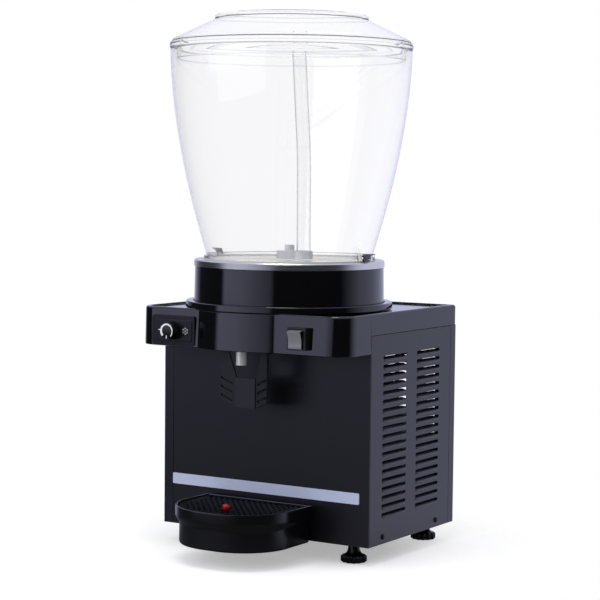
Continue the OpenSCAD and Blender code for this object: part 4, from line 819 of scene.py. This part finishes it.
# %% [markdown]
# ## Pressed louvres
#
# The slots of the side panels are lanced: the press rolls the metal below each cut into a scoop, so that air
# goes in but drips and looks stay out. A scoop is one closed section of (outward, upward) offsets carried
# along its slot. The offsets shrink with 1 - u to the ninth and its root, so each end closes on a point.

# %% Louvre scoops
LOUVRE_ROWS, LOUVRE_PITCH, LOUVRE_MIDDLE_Z = 19, 11.6, 168.4
LOUVRE_W, COLUMN_GAP, COLUMN_MIDDLE_Y = 65, 27, 60.75
PANEL_X, CUT_BELOW = 164.95, 2.3
section = np.array([
    [-0.2, -3.6], [0.5, -3.0], [1.0, -2.1], [1.2, -1.2], [1.0, -0.4], [0.4, 0.1], [-0.8, 0.7], [-2.4, 1.9],
    [-4.0, 3.4], [-4.5, 3.1], [-3.0, 1.0], [-1.8, -0.6], [-1.3, -2.0], [-0.9, -3.4],
])
u = np.linspace(-1, 1, 25)[:, None]
fall = 1 - np.abs(u) ** 9
out, up = fall * section[:, 0], np.where(section[:, 1] > 0, fall, fall ** 0.5) * section[:, 1]
along = LOUVRE_W / 2 * u + 0 * out
rows = LOUVRE_MIDDLE_Z + LOUVRE_PITCH * (np.arange(LOUVRE_ROWS) - (LOUVRE_ROWS - 1) // 2)
columns = COLUMN_MIDDLE_Y + np.array([-1, 1]) * (LOUVRE_W + COLUMN_GAP) / 2
for name, s in (("left", -1), ("right", 1)):
    x = s * (PANEL_X + out)
    scoops = [np.stack([x, y + along, z - CUT_BELOW + up], -1) for z in rows for y in columns]
    piece(f"{name}_louvre_scoops", scoops, CAPPED, powder_coat, "cabinet", sharp=60)

# %% [markdown]
# ## Lip of the service panel
#
# The right panel can be taken off, so it stands in a narrow seam. Behind the seam the cabinet has a folded
# lip, which stops light and drips: three strips a few millimetres inside the sheet.

# %% Panel lip
LIP_T, LIP_X, TOP_LIP_X = 1.2, 158.2, 156.4
LIP_FRONT, LIP_REAR, LIP_LOW, LIP_TOP = -49.2, 180.0, 47.6, 303.9
FRONT_LIP_END, REAR_LIP_START, TOP_LIP_LOW = -40.0, 160.0, 292.0
lips = []
for x, y0, y1, z0 in (
    (LIP_X, LIP_FRONT, FRONT_LIP_END, LIP_LOW),
    (LIP_X, REAR_LIP_START, LIP_REAR, LIP_LOW),
    (TOP_LIP_X, LIP_FRONT, LIP_REAR, TOP_LIP_LOW),
):
    lips.append(prism(rectangle(x, x + LIP_T, y0, y1, 0.3, 3), z0, LIP_TOP, 0.2, 0.2, 3))
piece("service_panel_lip", lips, CAPPED, powder_coat, "cabinet")

# %% [markdown]
# ## Studio
#
# The picture has a white room behind and a dark one in front, with one large soft light at the front left:
# its edges show as sharp bands on the gloss. The world is white to the camera and through clear plastic. To
# a reflection it is white behind the machine and above it, dark in front, and has the light panel in it.

# %% World: the ramps that make the room
DARK_ROOM, THROUGH_PLASTIC, SOFT_LIGHT = 0.04, 0.9, 0.55
world = bpy.data.worlds.new("studio")
bpy.context.scene.world = world
world.use_nodes = True
tree = world.node_tree
way = add(tree, "ShaderNodeTexCoord").outputs["Generated"]
part = add(tree, "ShaderNodeSeparateXYZ", {"Vector": way}).outputs
front = add(tree, "ShaderNodeMath", {0: part["Y"], 1: -1.0}, operation="MULTIPLY").outputs[0]
heading = add(tree, "ShaderNodeMath", {0: part["X"], 1: front}, operation="ARCTAN2").outputs[0]

# Where each ramp starts and ends, and its values there. Headings are in degrees from the front towards the
# right, heights are the sine of the elevation.
turns = {
    "wall_right": (96, 126, 0, 1),
    "wall_left": (-102, -132, 0, 1),
    "panel_left": (-57, -51, 0, 1),
    "panel_right": (15, 10, 0, 1),
    "panel_light": (-28, 12, 1.6, 0.6),
}
heights = {
    "panel_low": (-0.074, -0.050, 0, 1),
    "panel_high": (0.75, 0.6, 0, 1),
    "ceiling": (0.22, 0.5, 0, 1),
}
slopes = [(name, heading, *map(math.radians, row[:2]), *row[2:]) for name, row in turns.items()]
slopes += [(name, part["Z"], *row) for name, row in heights.items()]
values = dict(add(tree, "ShaderNodeLightPath").outputs.items())
for name, value, start, end, low, high in slopes:
    sockets = {"Value": value, "From Min": start, "From Max": end, "To Min": low, "To Max": high}
    values[name] = add(tree, "ShaderNodeMapRange", sockets).outputs[0]
print("room:", len(slopes), "ramps")

# %% World: what each ray sees
# Each row makes a new value from two earlier ones. A mirror sees the room, the camera and a look through
# clear plastic see white, and the rest gets a soft light.
sums = [
    ("walls", "MAXIMUM", "wall_right", "wall_left"),
    ("panel_width", "MULTIPLY", "panel_left", "panel_right"),
    ("panel_height", "MULTIPLY", "panel_low", "panel_high"),
    ("panel_shape", "MULTIPLY", "panel_width", "panel_height"),
    ("panel", "MULTIPLY", "panel_light", "panel_shape"),
    ("sides", "MAXIMUM", "walls", "panel"),
    ("roof", "MAXIMUM", "ceiling", DARK_ROOM),
    ("room", "MAXIMUM", "sides", "roof"),
    ("mirrored", "MULTIPLY", "room", "Is Glossy Ray"),
    ("through", "MINIMUM", "Transmission Depth", THROUGH_PLASTIC),
    ("straight", "MAXIMUM", "Is Camera Ray", "Is Transmission Ray"),
    ("seen", "MAXIMUM", "straight", "through"),
    ("soft", "MULTIPLY", "Is Diffuse Ray", SOFT_LIGHT),
    ("only_mirrored", "GREATER_THAN", "Is Glossy Ray", "Transmission Depth"),
    ("seen_or_mirrored", "MAXIMUM", "seen", "mirrored"),
    ("strength", "MAXIMUM", "seen_or_mirrored", "soft"),
]
for name, operation, a, b in sums:
    sockets = {0: values.get(a, a), 1: values.get(b, b)}
    values[name] = add(tree, "ShaderNodeMath", sockets, operation=operation).outputs[0]
tint = add(tree, "ShaderNodeMix", {0: values["only_mirrored"], 6: paint("#ffffff"), 7: paint("#dadeff")},
           data_type="RGBA")
sky = tree.nodes["Background"].inputs
tree.links.new(tint.outputs[2], sky["Color"])
tree.links.new(values["strength"], sky["Strength"])
print("world:", len(tree.nodes), "nodes")

# %% [markdown]
# ## Floor and lamps
#
# The floor is white paper that fades into the background, so only the soft shadow of the machine stays. To
# the camera it glows a little, as overexposed paper does, and gloss mirrors it darker in front.
# A wide panel lights the front from the left, and a small one the tops.

# %% Floor
FLOOR_R, FLOOR_BELOW = 900, 0.4
FADE_AT, FADE_END, FADE_START = (-0.04, -0.08, 0), 0.48, 0.22
DIM_START, DIM_FULL, GLOW = 0.10, -0.08, 0.38
floor_points = turned([[0, 0], [400, 0], [FLOOR_R, 0]], (0, 0), 96) - [0, 0, FLOOR_BELOW]
floor_mesh = bpy.data.meshes.new("floor")
floor_mesh.from_pydata((floor_points.reshape(-1, 3) * MM).tolist(), [],
                       grid_quads(*floor_points.shape[:2], *POLED).tolist())
floor = bpy.data.objects.new("floor", floor_mesh)
bpy.context.scene.collection.objects.link(floor)
floor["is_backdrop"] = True

paper, tree, shader, where = started("white_paper_floor", Roughness=0.8, Emission_Color=paint("#ffffff"))
path = add(tree, "ShaderNodeLightPath").outputs
depth = add(tree, "ShaderNodeSeparateXYZ", {"Vector": where}).outputs["Y"]
shade = add(tree, "ShaderNodeMapRange", {"Value": depth, "From Min": DIM_START, "From Max": DIM_FULL})
dimmed = add(tree, "ShaderNodeMath", {0: path["Is Glossy Ray"], 1: shade.outputs[0]}, operation="MULTIPLY")
colour = add(tree, "ShaderNodeMix", {0: dimmed.outputs[0], 6: paint("#f1f1f4"), 7: paint("#55555c")},
             data_type="RGBA")
tree.links.new(colour.outputs[2], shader.inputs["Base Color"])
glow = add(tree, "ShaderNodeMath", {0: path["Is Camera Ray"], 1: GLOW}, operation="MULTIPLY")
tree.links.new(glow.outputs[0], shader.inputs["Emission Strength"])
away = add(tree, "ShaderNodeVectorMath", {0: where, 1: FADE_AT}, operation="DISTANCE").outputs["Value"]
fade = add(tree, "ShaderNodeMapRange", {"Value": away, "From Min": FADE_END, "From Max": FADE_START})
tree.links.new(fade.outputs[0], shader.inputs["Alpha"])
floor.data.materials.append(paper)
print("floor ready")


# %% Lamps
def lamp(name, at, aim, size, power):
    """A soft lamp panel that faces a point; power is in watts."""
    light = bpy.data.lights.new(name, "AREA")
    light.shape, light.size, light.size_y, light.energy = "RECTANGLE", size[0], size[1], power
    made = bpy.data.objects.new(name, light)
    facing = (Vector(aim) - Vector(at)).to_track_quat("-Z", "Y").to_matrix().to_4x4()
    made.matrix_world = Matrix.Translation(at) @ facing
    bpy.context.scene.collection.objects.link(made)
    return made


key = lamp("front_left_panel", (-0.68, -2.25, 1.25), (0, 0, 1.0), (2.3, 2.1), 24)
key.visible_glossy = False
lamp("top_panel", (0.1, -0.5, 2.4), (0, 0, 0.4), (0.8, 0.4), 14)
print("lamps ready")

# %% Sizes
low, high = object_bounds()
print("box", [round(v, 4) for v in low], [round(v, 4) for v in high])
